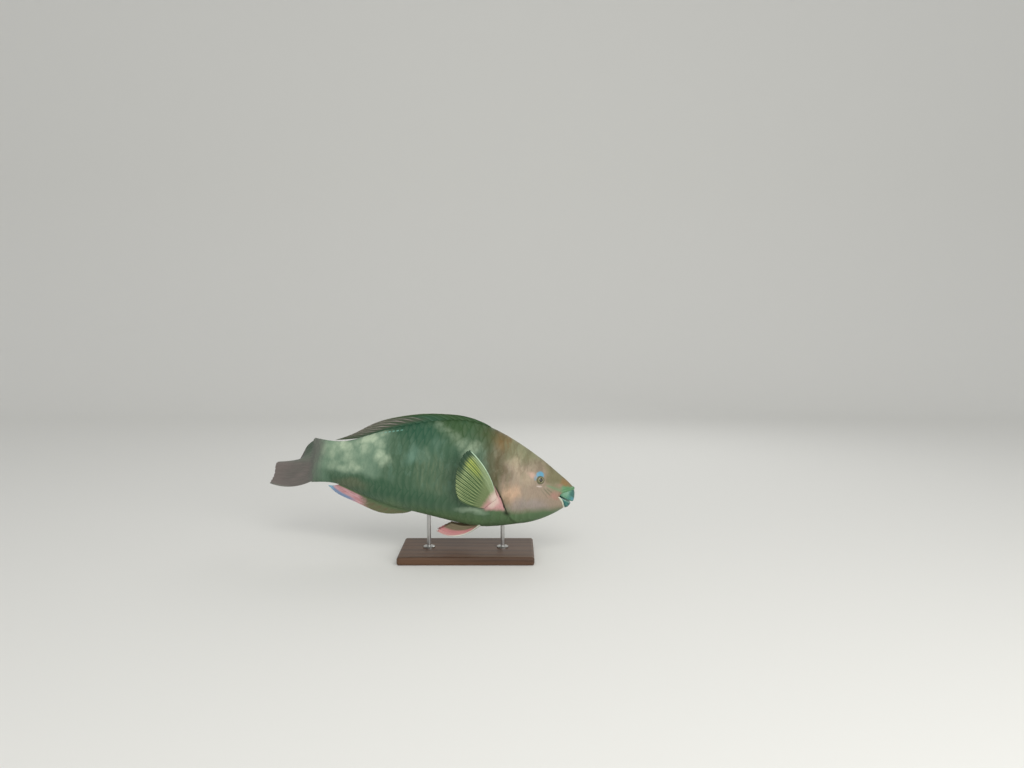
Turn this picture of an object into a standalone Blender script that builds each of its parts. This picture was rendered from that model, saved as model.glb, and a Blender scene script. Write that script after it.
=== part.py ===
"""Life-size still model of a large parrotfish on a plain display stand.

The fish swims nose down with its tail swept to its left. Its shape is given in body coordinates:
s runs from the snout to the tail along the body, y is to the fish's left and h is up. place()
bends them along the spine, tips the fish nose down and sets it over the stand. Metres, +Z up.
"""

import math

import bmesh
import bpy
import numpy as np
from mathutils import Matrix, Vector

MM = 0.001

# Driving sizes
STANDARD_LENGTH = 606 * MM  # snout to the root of the tail fin, along the body
GAP = 0.3 * MM  # kept between pieces that touch

# Pose: the spine is straight as far as BEND_START, then swings to the left
NOSE_DOWN = math.radians(7.7)
BEND_START = 0.25
TAIL_YAW = math.radians(24)
BEND_EASE = 0.8  # how far through a smooth step the swing has come at the tail's root
TAIL_SAG = 0.15  # of its swing to the left, which the tail also sinks
SPINE_STEP = MM

# Outline of the body without its fins, as (s, value) in millimetres
TOP_LINE = (
    (0, 12.5), (13, 23.5), (40, 42), (80, 68), (130, 95.5), (190, 121), (250, 133),
    (320, 126), (400, 103), (470, 75), (532, 51), (606, 47),
)
BELLY_LINE = (
    (0, -15), (20, -34), (45, -53), (80, -72), (130, -87.5), (200, -101), (250, -99),
    (340, -89), (400, -83), (470, -69), (545, -51.5), (606, -57),
)
HALF_WIDTH = (
    (0, 21), (30, 24.5), (78, 34.5), (130, 45), (190, 52), (250, 54), (330, 50),
    (410, 38), (480, 27), (550, 15.5), (606, 7),
)
NOSE_ROUND = 30 * MM  # the width grows from nothing over this length
WIDE_LEVEL = 0.47  # of the section's height, where it is widest
TOP_SHARPNESS = 1.15  # above 1 draws the section in towards the back
BELLY_SHARPNESS = 1.0

# Where the body is parted, as (angle up from the side in degrees, s in millimetres)
GILL_CURVE = (
    (-90, 104), (-60, 121), (-38, 140), (-20, 155), (-7, 167), (5, 178), (20, 179), (50, 171), (90, 168),
)

# Stations of the three lengths of the body
HEAD_STATIONS = (1.5, 4, 8, 13, 20, 28, 38, 50, 64, 78, 92, 108, 124, 140, 154, 168)
TRUNK_STATIONS = (168, 182, 198, 216, 236, 256, 276, 296, 316, 332, 346)
TAIL_STATIONS = (346, 366, 388, 410, 432, 454, 476, 498, 520, 542, 564, 586, 606)
GILL_CURVE_REACH = 100 * MM  # how far from the gill opening the stations stay curved
RING_SEGMENTS = 30

# Mouth, seen from the side, as (s, h) in millimetres
MOUTH_CORNER = (36, -5)
UPPER_LIP = (MOUTH_CORNER, (34, 1), (29, 6), (21.5, 9.5), (14, 12), (8, 13.2), (4.5, 13.8))
UPPER_LIP_FRONT = (2.8, 14.0)
LOWER_LIP = (MOUTH_CORNER, (31, -9), (27, -14), (24, -20), (21.5, -26.5), (18.5, -31))
LOWER_LIP_FRONT = (17.2, -32.0)
MOUTH_TIP = (6, -22)  # front end of the line between the two beak plates
UPPER_LIP_SIZE = (3.3 * MM, 2.5 * MM)  # half its width along the skin, and half its thickness
LOWER_LIP_SIZE = (2.5 * MM, 2.0 * MM)
LIP_SINK = 0.45  # of that half thickness, under the skin
LIP_TAPER = 0.6  # of the full size, at the corner of the mouth
LIP_SEGMENTS = 8
BITE_GAP = 1.6 * MM  # between the beak plates

# Eye, on the body's surface at this s and h
EYE_S, EYE_H = 81 * MM, 25 * MM
EYE_RADIUS = 12.6 * MM
EYE_DEPTH = 7.8 * MM  # of its middle under the skin
RIM_RADIUS, RIM_THICK = 11.8 * MM, 2.1 * MM
RIM_SINK = 0.6 * MM
NOSTRILS = ((58, 30, 1.3), (64.5, 33, 1.7))  # (s, h, radius) in millimetres

# Beak plates, as (distance from the bite, back, front, half width) in millimetres, in the bite's frame
UPPER_PLATE = (
    (0, 1.5, 34.2, 20.0), (3.2, 0.0, 35.8, 21.0), (9, -1.5, 36.0, 21.0), (15.6, -0.5, 33.6, 19.4),
    (22.6, 5.5, 29.2, 15.8), (27.5, 11.5, 24.6, 10.5), (29.8, 15.0, 21.4, 5.5),
)
LOWER_PLATE = (
    (0, 4.0, 31.4, 18.8), (2.8, 6.5, 33.0, 18.8), (6.5, 11.5, 33.6, 17.0), (10.5, 17.0, 32.4, 13.6),
    (13.6, 21.0, 29.6, 8.5),
)
PLATE_ARC_STEPS = 12
PLATE_FULLNESS = 0.82  # below 1 squares the arch seen from above

# Gill covers: the front edge as (angle in degrees, s in millimetres), and their lift off the head
COVER_FRONT = ((-62, 104), (-40, 112), (-15, 118), (5, 126), (24, 148))
COVER_ANGLES = (-60, 23)
COVER_INNER_LIFT = 0.5 * MM
COVER_EDGE_THICK, COVER_REAR_THICK = 0.4 * MM, 2.4 * MM
COVER_OVERHANG = 3 * MM  # past the gill opening
COVER_BULGE = 0.7  # below 1 fills out the rounding of its rear edge
COVER_COLUMNS, COVER_ROWS = 7, 9

# Fins. A ridge runs along every ray. Half thicknesses are given as (at the root, at the edge)
RIDGE_SHARE = 0.24  # of the space between rays, from a ray's middle to the foot of its ridge
EDGE_NOTCH = 0.02  # of a ray's length, by which the edge is drawn in between rays

# Dorsal fin, laid back: its root, and its free edge as (s, h) in millimetres
DORSAL_RAYS = 19
DORSAL_ROOT = (0.205, 0.508)
DORSAL_EDGE = (
    (222, 132.5), (268, 142), (318, 140), (368, 133), (407, 123), (448, 109), (478, 94), (512, 73), (558, 56),
)
DORSAL_SWEEP = (30, 46)  # how far back each ray's tip lies from its root, first and last, in millimetres
DORSAL_BOW = (0.42, 2 * MM)  # share of the sweep at a ray's middle, and how far the ray bows up there
DORSAL_RAY_HALF, DORSAL_WEB_HALF = (1.5 * MM, 0.5 * MM), (0.8 * MM, 0.35 * MM)

# Anal fin, laid back, in the same way
ANAL_RAYS = 12
ANAL_ROOT = (0.358, 0.500)
ANAL_EDGE = ((372, -93), (396, -99.5), (421, -102), (454, -98), (489, -88.5), (524, -75), (564, -60))
ANAL_SWEEP = (24, 63)
ANAL_BOW = (0.45, 3 * MM)
ANAL_RAY_HALF, ANAL_WEB_HALF = (1.5 * MM, 0.55 * MM), (0.8 * MM, 0.35 * MM)

# Tail fin. Its rays are numbered from the lowest, at place -1, to the highest, at place 1
CAUDAL_RAYS = 15
CAUDAL_RAY_LENGTH = 0.137
CAUDAL_NOTCH = 0.12  # of that length, by which the middle rays are shorter
CAUDAL_ROOT_HEIGHTS = (-55, 45)
CAUDAL_FALL = ((-1, -14), (-0.5, -14), (0, -14), (0.3, -24), (0.7, -32), (1, -35))  # degrees
CAUDAL_FALL_EASE = ((-1, 26), (0, 0), (1, 0))  # degrees by which a ray's fall eases from its root to its tip
CAUDAL_TIP_YAW = ((-1, 27), (-0.4, 28), (0, 32), (0.3, 52), (0.7, 64), (1, 66))
CAUDAL_YAW_REACH, CAUDAL_YAW_EASE = 2.2, 0.8  # how soon along a ray its yaw is reached
CAUDAL_FALL_REACH, CAUDAL_FALL_START = 6, 0.3  # how soon along a ray its fall is reached
CAUDAL_PATH_STEPS = 40
CAUDAL_RAY_HALF, CAUDAL_WEB_HALF = (1.5 * MM, 0.5 * MM), (0.9 * MM, 0.35 * MM)
CAUDAL_ROOT_HALF = (1.2 * MM, 5 * MM)  # at the root's ends and in its middle
CAUDAL_ROOT_SHARE = 0.25  # of a ray's length, over which the root's thickness is lost

# Pectoral fins, in millimetres: the root's ends as (s, h), and the rays' tips as (share of the rays, s, y, h)
PECTORAL_RAYS = 14
PECTORAL_ROOT = ((174, -18), (198, -46))
PECTORAL_TIPS = (
    (0, 240, 92, 83), (0.1, 250, 95, 76), (0.3, 259, 98, 50), (0.55, 264, 96, 18), (0.78, 263, 89, -6),
    (1, 257, 80, -30),
)
PECTORAL_BOW = 8 * MM  # how far a ray's middle bows out
PECTORAL_RAY_HALF, PECTORAL_WEB_HALF = (1.3 * MM, 0.45 * MM), (0.6 * MM, 0.3 * MM)
PECTORAL_ROOT_HALF = 2.2 * MM
PECTORAL_ROOT_SHARE = 0.2

# Pelvic fins: root as (s, y), tips as (s, y, h), first ray and last, in millimetres
PELVIC_RAYS = 6
PELVIC_ROOT = ((201, 17), (214, 9))
PELVIC_TIPS = ((292, 31, -121), (285, 27, -114), (266, 18, -105))
PELVIC_BOW = ((236, 31, -129), (240, 18, -106))
PELVIC_RAY_HALF, PELVIC_WEB_HALF = (1.5 * MM, 0.5 * MM), (0.8 * MM, 0.35 * MM)
PELVIC_ROOT_HALF = 2.0 * MM
PELVIC_ROOT_SHARE = 0.17

# Stand
BASE_LENGTH, BASE_WIDTH, BASE_HEIGHT = 0.300, 0.165, 0.018
BASE_ROUND = 5 * MM
BALANCE_S = 0.243  # the station over the middle of the base
FIN_CLEARANCE = 30 * MM  # from the lowest fin to the base
LOWEST_FIN = 125 * MM  # below the body's axis at the balance station
ROD_RADIUS = 4.5 * MM
ROD_STATIONS = {"stand_rod_front": 0.150, "stand_rod_rear": 0.318}
FOOT_RADIUS, FOOT_HEIGHT = 13 * MM, 3.5 * MM

AXIS_HEIGHT = BASE_HEIGHT + FIN_CLEARANCE + LOWEST_FIN

SKIN = {"color": (0.26, 0.33, 0.2), "roughness": 0.35}
HEAD_SKIN = {"color": (0.45, 0.36, 0.24), "roughness": 0.35}
FIN_ROSE = {"color": (0.5, 0.27, 0.22), "roughness": 0.4}
FIN_GREEN = {"color": (0.3, 0.4, 0.12), "roughness": 0.4}
BEAK_TEAL = {"color": (0.07, 0.33, 0.3), "roughness": 0.25}
EYE_DARK = {"color": (0.05, 0.045, 0.03), "roughness": 0.08}
STAND_WOOD = {"color": (0.11, 0.07, 0.045), "roughness": 0.4}
STAND_STEEL = {"color": (0.55, 0.55, 0.54), "roughness": 0.3, "metallic": 1.0}


def spline(knots, unit=MM):
    """A natural cubic curve through (place, value) knots, which are in that unit."""
    x, y = (np.array(column, float) * unit for column in zip(*knots, strict=True))
    step = np.diff(x)
    slope = np.diff(y) / step
    system = np.eye(len(x))
    bend = np.zeros(len(x))
    for i in range(1, len(x) - 1):
        system[i, i - 1 : i + 2] = step[i - 1], 2 * (step[i - 1] + step[i]), step[i]
        bend[i] = 6 * (slope[i] - slope[i - 1])
    second = np.linalg.solve(system, bend)

    def value(at):
        i = int(np.clip(np.searchsorted(x, at) - 1, 0, len(step) - 1))
        a, b = x[i + 1] - at, at - x[i]
        return float(
            (second[i] * a**3 + second[i + 1] * b**3) / (6 * step[i])
            + (y[i] / step[i] - second[i] * step[i] / 6) * a
            + (y[i + 1] / step[i] - second[i + 1] * step[i] / 6) * b
        )

    return value


top_line = spline(TOP_LINE)
belly_line = spline(BELLY_LINE)
full_width = spline(HALF_WIDTH)
gill_station = spline([(angle, s * MM) for angle, s in GILL_CURVE], unit=1)


def smoothstep(x):
    x = min(max(x, 0.0), 1.0)
    return x * x * (3 - 2 * x)


def mix(a, b, share):
    return a + (b - a) * share


def half_width(s):
    nose = max(0.0, 1 - s / NOSE_ROUND)
    return full_width(s) * math.sqrt(max(0.0, 1 - nose * nose))


def wide_level(s):
    """Height at which the section at s is widest."""
    return mix(belly_line(s), top_line(s), WIDE_LEVEL)


def skin(s, angle):
    """(y, h) of the left side's surface at s. The angle in degrees is 90 on the back and -90 on the belly."""
    turn = math.radians(angle)
    sharpness = TOP_SHARPNESS if angle > 0 else BELLY_SHARPNESS
    end = top_line(s) if angle > 0 else belly_line(s)
    y = half_width(s) * max(math.cos(turn), 0.0) ** sharpness
    return y, mix(wide_level(s), end, abs(math.sin(turn)))


def angle_at(s, h):
    """The skin's angle in degrees at height h."""
    level = wide_level(s)
    end = top_line(s) if h > level else belly_line(s)
    share = min(max((h - level) / (end - level), 0.0), 1.0)
    return math.copysign(math.degrees(math.asin(share)), h - level)


def belly_angle_at(s, y):
    """The skin's angle in degrees on the underside, at y from the midline."""
    share = min(abs(y) / half_width(s), 1.0)
    return -math.degrees(math.acos(share ** (1 / BELLY_SHARPNESS)))


def yaw_at(s):
    swung = (s - BEND_START) / (STANDARD_LENGTH - BEND_START)
    return TAIL_YAW * smoothstep(swung * BEND_EASE) / smoothstep(BEND_EASE)


def spine_table():
    """Places along the spine, seen from above, at every SPINE_STEP."""
    x, y, found = 0.0, 0.0, []
    for i in range(int(STANDARD_LENGTH / SPINE_STEP) + 2):
        found.append((x, y))
        yaw = yaw_at((i + 0.5) * SPINE_STEP)
        x -= SPINE_STEP * math.cos(yaw)
        y += SPINE_STEP * math.sin(yaw)
    return found


SPINE = spine_table()


def spine_point(s):
    """(x, y) of the spine at s. Past its ends it runs straight on."""
    inside = min(max(s, 0.0), STANDARD_LENGTH)
    i = int(inside / SPINE_STEP)
    share = inside / SPINE_STEP - i
    x = mix(SPINE[i][0], SPINE[i + 1][0], share)
    y = mix(SPINE[i][1], SPINE[i + 1][1], share)
    past = s - inside
    return x - past * math.cos(yaw_at(inside)), y + past * math.sin(yaw_at(inside))


BALANCE_X = spine_point(BALANCE_S)[0]


def tip_down(x, y, z):
    """A point beside the straight fish, tipped nose down and set over the stand."""
    x -= BALANCE_X
    return Vector(
        (
            x * math.cos(NOSE_DOWN) + z * math.sin(NOSE_DOWN),
            y,
            AXIS_HEIGHT - x * math.sin(NOSE_DOWN) + z * math.cos(NOSE_DOWN),
        )
    )


def place(s, y, h):
    """A point in body coordinates, in the model's own frame."""
    x0, y0 = spine_point(s)
    yaw = yaw_at(min(s, STANDARD_LENGTH))
    return tip_down(x0 + y * math.sin(yaw), y0 + y * math.cos(yaw), h - y0 * TAIL_SAG)


def skin_point(s, angle, side=1, lift=0.0):
    """A point on the skin, or lifted off it. side is 1 on the left and -1 on the right."""
    y, h = skin(s, angle)
    point = place(s, side * y, h)
    if not lift:
        return point
    return point + skin_normal(s, angle, side) * lift


def skin_normal(s, angle, side=1):
    step_s, step_angle = MM, 2.0
    along = skin_point(s + step_s, angle, side) - skin_point(s - step_s, angle, side)
    across = skin_point(s, angle + step_angle, side) - skin_point(s, angle - step_angle, side)
    normal = along.cross(across).normalized()
    outward = skin_point(s, angle, side) - place(s, 0, skin(s, angle)[1] * 0.8 + wide_level(s) * 0.2)
    return normal if normal.dot(outward) > 0 else -normal


def material(name, look):
    made = bpy.data.materials.new(name)
    made.use_nodes = True
    shader = made.node_tree.nodes["Principled BSDF"]
    shader.inputs["Base Color"].default_value = (*look["color"], 1)
    shader.inputs["Roughness"].default_value = look["roughness"]
    shader.inputs["Metallic"].default_value = look.get("metallic", 0.0)
    return made


def new_object(name, bm, collection, look=None):
    """An object from a bmesh, with its faces turned outwards."""
    bm.normal_update()
    bmesh.ops.recalc_face_normals(bm, faces=bm.faces)
    mesh = bpy.data.meshes.new(name)
    bm.to_mesh(mesh)
    bm.free()
    obj = bpy.data.objects.new(name, mesh)
    collection.objects.link(obj)
    if look:
        mesh.materials.append(material(name, look))
        mesh.shade_smooth()
    return obj


def ring_loft(rings, centre_first, centre_last):
    """A closed bmesh through rings of points, with each end drawn to a point in its middle."""
    bm = bmesh.new()
    loops = [[bm.verts.new(p) for p in ring] for ring in rings]
    count = len(loops[0])
    for near, far in zip(loops, loops[1:], strict=False):
        for i in range(count):
            j = (i + 1) % count
            bm.faces.new((near[i], near[j], far[j]))
            bm.faces.new((near[i], far[j], far[i]))
    for loop, centre in ((loops[0], centre_first), (loops[-1], centre_last)):
        hub = bm.verts.new(centre)
        for i in range(count):
            bm.faces.new((loop[i], loop[(i + 1) % count], hub))
    return bm


def ring_angles():
    """(angle, side) round a section, from the back down the left side and up the right."""
    found = []
    for i in range(RING_SEGMENTS):
        turn = 90 - 360 * i / RING_SEGMENTS
        found.append((turn, 1) if turn >= -90 else (-180 - turn, -1))
    return found


def station_at(station, angle, shift):
    """The place along the body of a ring's point, on a ring that follows the gill opening when near it."""
    base = station * MM
    middle = HEAD_STATIONS[-1] * MM
    follow = 1 - smoothstep(abs(base - middle) / GILL_CURVE_REACH)
    return base + (gill_station(angle) - middle) * follow + shift


def body_length(name, stations, look, collection, shift_first=0.0, shift_last=0.0):
    """One length of the body between two of its parting cuts."""
    rings = []
    for i, station in enumerate(stations):
        shift = shift_first if i == 0 else shift_last if i == len(stations) - 1 else 0.0
        ring = [
            skin_point(station_at(station, angle, shift), angle, side)
            for angle, side in ring_angles()
        ]
        rings.append(ring)
    hubs = []
    for station, shift in ((stations[0], shift_first), (stations[-1], shift_last)):
        s = station * MM
        hubs.append(place(s + shift, 0, wide_level(s)))
    return new_object(name, ring_loft(rings, *hubs), collection, look)


def apply_boolean(obj, tools, operation):
    """Joins tools to obj, or cuts them from it, and removes them."""
    bpy.context.scene.collection.children.link(tools)
    modifier = obj.modifiers.new("join", "BOOLEAN")
    modifier.operation = operation
    modifier.operand_type = "COLLECTION"
    modifier.collection = tools
    modifier.solver = "EXACT"
    bpy.context.view_layer.update()
    graph = bpy.context.evaluated_depsgraph_get()
    mesh = bpy.data.meshes.new_from_object(obj.evaluated_get(graph))
    obj.modifiers.clear()
    old = obj.data
    mesh.materials.clear()
    for slot in old.materials:
        mesh.materials.append(slot)
    obj.data = mesh
    bpy.data.meshes.remove(old)
    for tool in list(tools.objects):
        bpy.data.objects.remove(tool)
    bpy.data.collections.remove(tools)
    keep_largest(obj)


def keep_largest(obj):
    """Keeps only the closed surface that holds the most, and drops what is loose or sealed inside."""
    bm = bmesh.new()
    bm.from_mesh(obj.data)
    bmesh.ops.remove_doubles(bm, verts=bm.verts, dist=2e-6)
    bmesh.ops.triangulate(bm, faces=bm.faces)
    left, shells = set(bm.faces), []
    while left:
        shell, edge_of = set(), [left.pop()]
        while edge_of:
            face = edge_of.pop()
            shell.add(face)
            for edge in face.edges:
                for other in edge.link_faces:
                    if other in left:
                        left.discard(other)
                        edge_of.append(other)
        shells.append(shell)
    largest = max(shells, key=lambda shell: abs(shell_volume(shell)))
    loose = [face for shell in shells if shell is not largest for face in shell]
    bmesh.ops.delete(bm, geom=loose, context="FACES")
    bm.to_mesh(obj.data)
    bm.free()


def shell_volume(faces):
    total = 0.0
    for face in faces:
        a, b, c = (vert.co for vert in face.verts[:3])
        total += a.dot(b.cross(c)) / 6
    return total


def plane_prism(name, outline, half_thickness, collection):
    """An outline in the plane of symmetry, as (s, h) in millimetres, given thickness to both sides."""
    bm = bmesh.new()
    near = [bm.verts.new(place(s * MM, -half_thickness, h * MM)) for s, h in outline]
    far = [bm.verts.new(place(s * MM, half_thickness, h * MM)) for s, h in outline]
    bm.faces.new(near)
    bm.faces.new(far)
    for i in range(len(outline)):
        j = (i + 1) % len(outline)
        bm.faces.new((near[i], near[j], far[j], far[i]))
    bmesh.ops.triangulate(bm, faces=bm.faces)
    return new_object(name, bm, collection)


def bite_frame():
    """The mouth corner, and the directions along the bite and down across it, in (s, h)."""
    corner = Vector(MOUTH_CORNER) * MM
    along = (Vector(MOUTH_TIP) * MM - corner).normalized()
    return corner, along, Vector((-along.y, along.x))


def beak_plate(name, levels, direction, collection, look=None, grow=0.0):
    """A beak plate as a stack of arches, open side towards the head. direction is -1 for the upper one."""
    corner, along, across = bite_frame()
    rings = []
    for i, (distance, back, front, width) in enumerate(levels):
        edge = {0: -grow, len(levels) - 1: grow}.get(i, 0.0)
        level = corner + across * direction * (BITE_GAP / 2 + distance * MM + edge)
        ring = []
        for k in range(PLATE_ARC_STEPS + 1):
            turn = math.pi * (k / PLATE_ARC_STEPS - 0.5)
            reach = math.cos(turn) ** PLATE_FULLNESS if abs(turn) < math.pi / 2 - 1e-6 else 0.0
            u = mix(back * MM + GAP - grow, front * MM + grow, reach)
            spread = math.copysign(abs(math.sin(turn)) ** PLATE_FULLNESS, turn)
            at = level + along * u
            ring.append(place(at.x, (width * MM + grow) * spread, at.y))
        rings.append(ring)
    hubs = [sum(ring, Vector()) / len(ring) for ring in (rings[0], rings[-1])]
    return new_object(name, ring_loft(rings, *hubs), collection, look)


def lip_roll(name, outline, front, size, collection):
    """A fleshy lip along an outline of (s, h) on both sides of the head, joined in front on the midline."""
    wide, thick = size
    ends = [[], []]
    for s, h in outline:
        angle = angle_at(s * MM, h * MM)
        for end, side in zip(ends, (1, -1), strict=True):
            end.append((skin_point(s * MM, angle, side), skin_normal(s * MM, angle, side)))
    left, right = ends
    ahead = (left[-1][1] + right[-1][1]).normalized()
    path = [*left, (place(front[0] * MM, 0, front[1] * MM), ahead), *reversed(right)]
    rings = []
    for i, (at, out) in enumerate(path):
        tangent = path[min(i + 1, len(path) - 1)][0] - path[max(i - 1, 0)][0]
        across = out.cross(tangent).normalized()
        full = min(1.0, LIP_TAPER + (1 - LIP_TAPER) * min(i, len(path) - 1 - i) / 3)
        ring = []
        for k in range(LIP_SEGMENTS):
            turn = math.tau * k / LIP_SEGMENTS
            lift = (math.sin(turn) - LIP_SINK) * thick * full
            ring.append(at + across * math.cos(turn) * wide * full + out * lift)
        rings.append(ring)
    hubs = [sum(ring, Vector()) / LIP_SEGMENTS for ring in (rings[0], rings[-1])]
    return new_object(name, ring_loft(rings, *hubs), collection)


def turned_to(direction):
    """A rotation that carries +Z to the direction."""
    return direction.to_track_quat("Z", "Y").to_matrix().to_4x4()


def sphere(name, centre, axis, radius, collection, look=None, segments=18, rings=10):
    bm = bmesh.new()
    bmesh.ops.create_uvsphere(bm, u_segments=segments, v_segments=rings, radius=radius)
    bmesh.ops.triangulate(bm, faces=bm.faces)
    bm.transform(Matrix.Translation(centre) @ turned_to(axis))
    return new_object(name, bm, collection, look)


def torus(name, centre, axis, radius, thick, collection, around=22, across=8):
    bm = bmesh.new()
    loops = []
    for i in range(around):
        turn = math.tau * i / around
        out = Vector((math.cos(turn), math.sin(turn), 0))
        loops.append(
            [
                bm.verts.new(
                    out * (radius + thick * math.cos(math.tau * k / across))
                    + Vector((0, 0, thick * math.sin(math.tau * k / across)))
                )
                for k in range(across)
            ]
        )
    for i in range(around):
        near, far = loops[i], loops[(i + 1) % around]
        for k in range(across):
            j = (k + 1) % across
            bm.faces.new((near[k], near[j], far[j]))
            bm.faces.new((near[k], far[j], far[k]))
    bm.transform(Matrix.Translation(centre) @ turned_to(axis))
    return new_object(name, bm, collection)


def eye_place(side):
    """(point on the skin over the eye, outward direction)."""
    angle = angle_at(EYE_S, EYE_H)
    return skin_point(EYE_S, angle, side), skin_normal(EYE_S, angle, side)


def cutters(name):
    return bpy.data.collections.new(name)


def make_head(fish):
    """Head with its lips, eye rims, eye sockets and nostrils."""
    head = body_length("head", HEAD_STATIONS, HEAD_SKIN, fish)
    mouth = cutters("mouth")
    outline = [*reversed(UPPER_LIP), *LOWER_LIP[1:], (10, -60), (-20, -60), (-20, UPPER_LIP[-1][1])]
    plane_prism("mouth_opening", outline, 45 * MM, mouth)
    apply_boolean(head, mouth, "DIFFERENCE")
    raised = cutters("raised")
    lip_roll("upper_lip", UPPER_LIP, UPPER_LIP_FRONT, UPPER_LIP_SIZE, raised)
    lip_roll("lower_lip", LOWER_LIP, LOWER_LIP_FRONT, LOWER_LIP_SIZE, raised)
    for side in (1, -1):
        at, out = eye_place(side)
        torus("eye_rim", at - out * RIM_SINK, out, RIM_RADIUS, RIM_THICK, raised)
    apply_boolean(head, raised, "UNION")
    hollows = cutters("hollows")
    beak_plate("upper_root", UPPER_PLATE, -1, hollows, grow=GAP)
    beak_plate("lower_root", LOWER_PLATE, 1, hollows, grow=GAP)
    for side in (1, -1):
        at, out = eye_place(side)
        sphere("socket", at - out * EYE_DEPTH, out, EYE_RADIUS + GAP, hollows)
        for s, h, radius in NOSTRILS:
            angle = angle_at(s * MM, h * MM)
            where = skin_point(s * MM, angle, side)
            out = skin_normal(s * MM, angle, side)
            sphere("nostril", where, out, radius * MM, hollows, segments=8, rings=6)
    apply_boolean(head, hollows, "DIFFERENCE")
    head.data.shade_smooth()
    head.data.set_sharp_from_angle(angle=math.radians(35))
    return head


def make_eyes(fish):
    for name, side in (("eye_left", 1), ("eye_right", -1)):
        at, out = eye_place(side)
        sphere(name, at - out * EYE_DEPTH, out, EYE_RADIUS, fish, EYE_DARK)


def make_gill_cover(name, side, fish):
    """A thin curved plate over the side of the head, thickest along its free rear edge."""
    front = spline([(angle, s * MM) for angle, s in COVER_FRONT], unit=1)
    outer, inner = [], []
    for row in range(COVER_ROWS + 1):
        angle = mix(*COVER_ANGLES, row / COVER_ROWS)
        bulge = math.sin(math.pi * row / COVER_ROWS) ** COVER_BULGE
        outer.append([])
        inner.append([])
        for column in range(COVER_COLUMNS + 1):
            share = column / COVER_COLUMNS
            s = mix(front(angle), gill_station(angle) + COVER_OVERHANG * bulge, share)
            thick = mix(COVER_EDGE_THICK, COVER_REAR_THICK, share**2 * bulge)
            inner[-1].append(skin_point(s, angle, side, COVER_INNER_LIFT))
            outer[-1].append(skin_point(s, angle, side, COVER_INNER_LIFT + thick))
    return new_object(name, sheet_solid(outer, inner), fish, HEAD_SKIN)


def sheet_solid(upper, lower):
    """A closed bmesh between two grids of points, split into triangles alike on both faces."""
    bm = bmesh.new()
    top = [[bm.verts.new(p) for p in row] for row in upper]
    under = [[bm.verts.new(p) for p in row] for row in lower]
    rows, columns = len(top), len(top[0])
    for i in range(rows - 1):
        for j in range(columns - 1):
            for grid in (top, under):
                a, b, c, d = grid[i][j], grid[i][j + 1], grid[i + 1][j + 1], grid[i + 1][j]
                bm.faces.new((a, b, c))
                bm.faces.new((a, c, d))
    rim = [(0, j) for j in range(columns)]
    rim += [(i, columns - 1) for i in range(1, rows)]
    rim += [(rows - 1, j) for j in range(columns - 2, -1, -1)]
    rim += [(i, 0) for i in range(rows - 2, 0, -1)]
    for (i, j), (k, m) in zip(rim, [*rim[1:], rim[0]], strict=True):
        bm.faces.new((top[i][j], top[k][m], under[k][m]))
        bm.faces.new((top[i][j], under[k][m], under[i][j]))
    return bm


def fin_columns(rays):
    """(place across the fin in rays, whether on a ray's middle) for the ridges and their feet."""
    found = []
    for ray in range(rays):
        for offset in (-RIDGE_SHARE, 0.0, RIDGE_SHARE):
            if 0 <= ray + offset <= rays - 1:
                found.append((ray + offset, offset == 0.0))
    return found


def fin_solid(rays, steps, point, ray_half, web_half, root=None):
    """A webbed fin with a ridge along every ray.

    point(u, v) is the middle of the fin u rays across and v of the way along a ray. root(u, offset)
    gives the two ends of its root where the fin doesn't stand square on the body.
    """
    upper, lower = [], []
    for u, on_ray in fin_columns(rays):
        upper.append([])
        lower.append([])
        for step in range(steps + 1):
            v = step / steps
            middle = point(u, v)
            across = point(min(u + 0.5, rays - 1), v) - point(max(u - 0.5, 0), v)
            along = point(u, min(v + 0.06, 1.0)) - point(u, max(v - 0.06, 0.0))
            half = (ray_half if on_ray else web_half)(u, v)
            if root and step == 0:
                upper[-1].append(root(u, half))
                lower[-1].append(root(u, -half))
                continue
            normal = across.cross(along).normalized()
            upper[-1].append(middle + normal * half)
            lower[-1].append(middle - normal * half)
    return sheet_solid(upper, lower)


def between_rays(ray_point, rays):
    """A fin surface from its rays: straight across the web, with its edge drawn in a little between them."""

    def point(u, v):
        ray = min(int(u), rays - 2)
        share = u - ray
        reach = v * (1 - EDGE_NOTCH * 4 * share * (1 - share))
        return ray_point(ray, reach).lerp(ray_point(ray + 1, reach), share)

    return point


def bezier(a, b, c, v):
    return a * (1 - v) ** 2 + b * 2 * v * (1 - v) + c * v**2


def tapered(halves, root_half=None, root_share=1.0):
    """A half thickness along the rays, swollen to root_half(u) at the root if that is given."""

    def half(u, v):
        along = mix(*halves, v)
        if root_half is None or v >= root_share:
            return along
        return mix(root_half(u), along, v / root_share)

    return half


def make_dorsal_fin(fish):
    edge = spline(DORSAL_EDGE)

    def ray(i, v):
        share = i / (DORSAL_RAYS - 1)
        s0 = mix(*DORSAL_ROOT, share)
        s1 = s0 + mix(*DORSAL_SWEEP, share**2) * MM
        root = place(s0, 0, top_line(s0) + GAP)
        tip = place(s1, 0, edge(s1))
        bowed = place(mix(s0, s1, DORSAL_BOW[0]), 0, mix(top_line(s0), edge(s1), 0.5) + DORSAL_BOW[1])
        return bezier(root, bowed, tip, v)

    bm = fin_solid(
        DORSAL_RAYS,
        4,
        between_rays(ray, DORSAL_RAYS),
        tapered(DORSAL_RAY_HALF),
        tapered(DORSAL_WEB_HALF),
    )
    new_object("dorsal_fin", bm, fish, FIN_ROSE)


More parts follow.
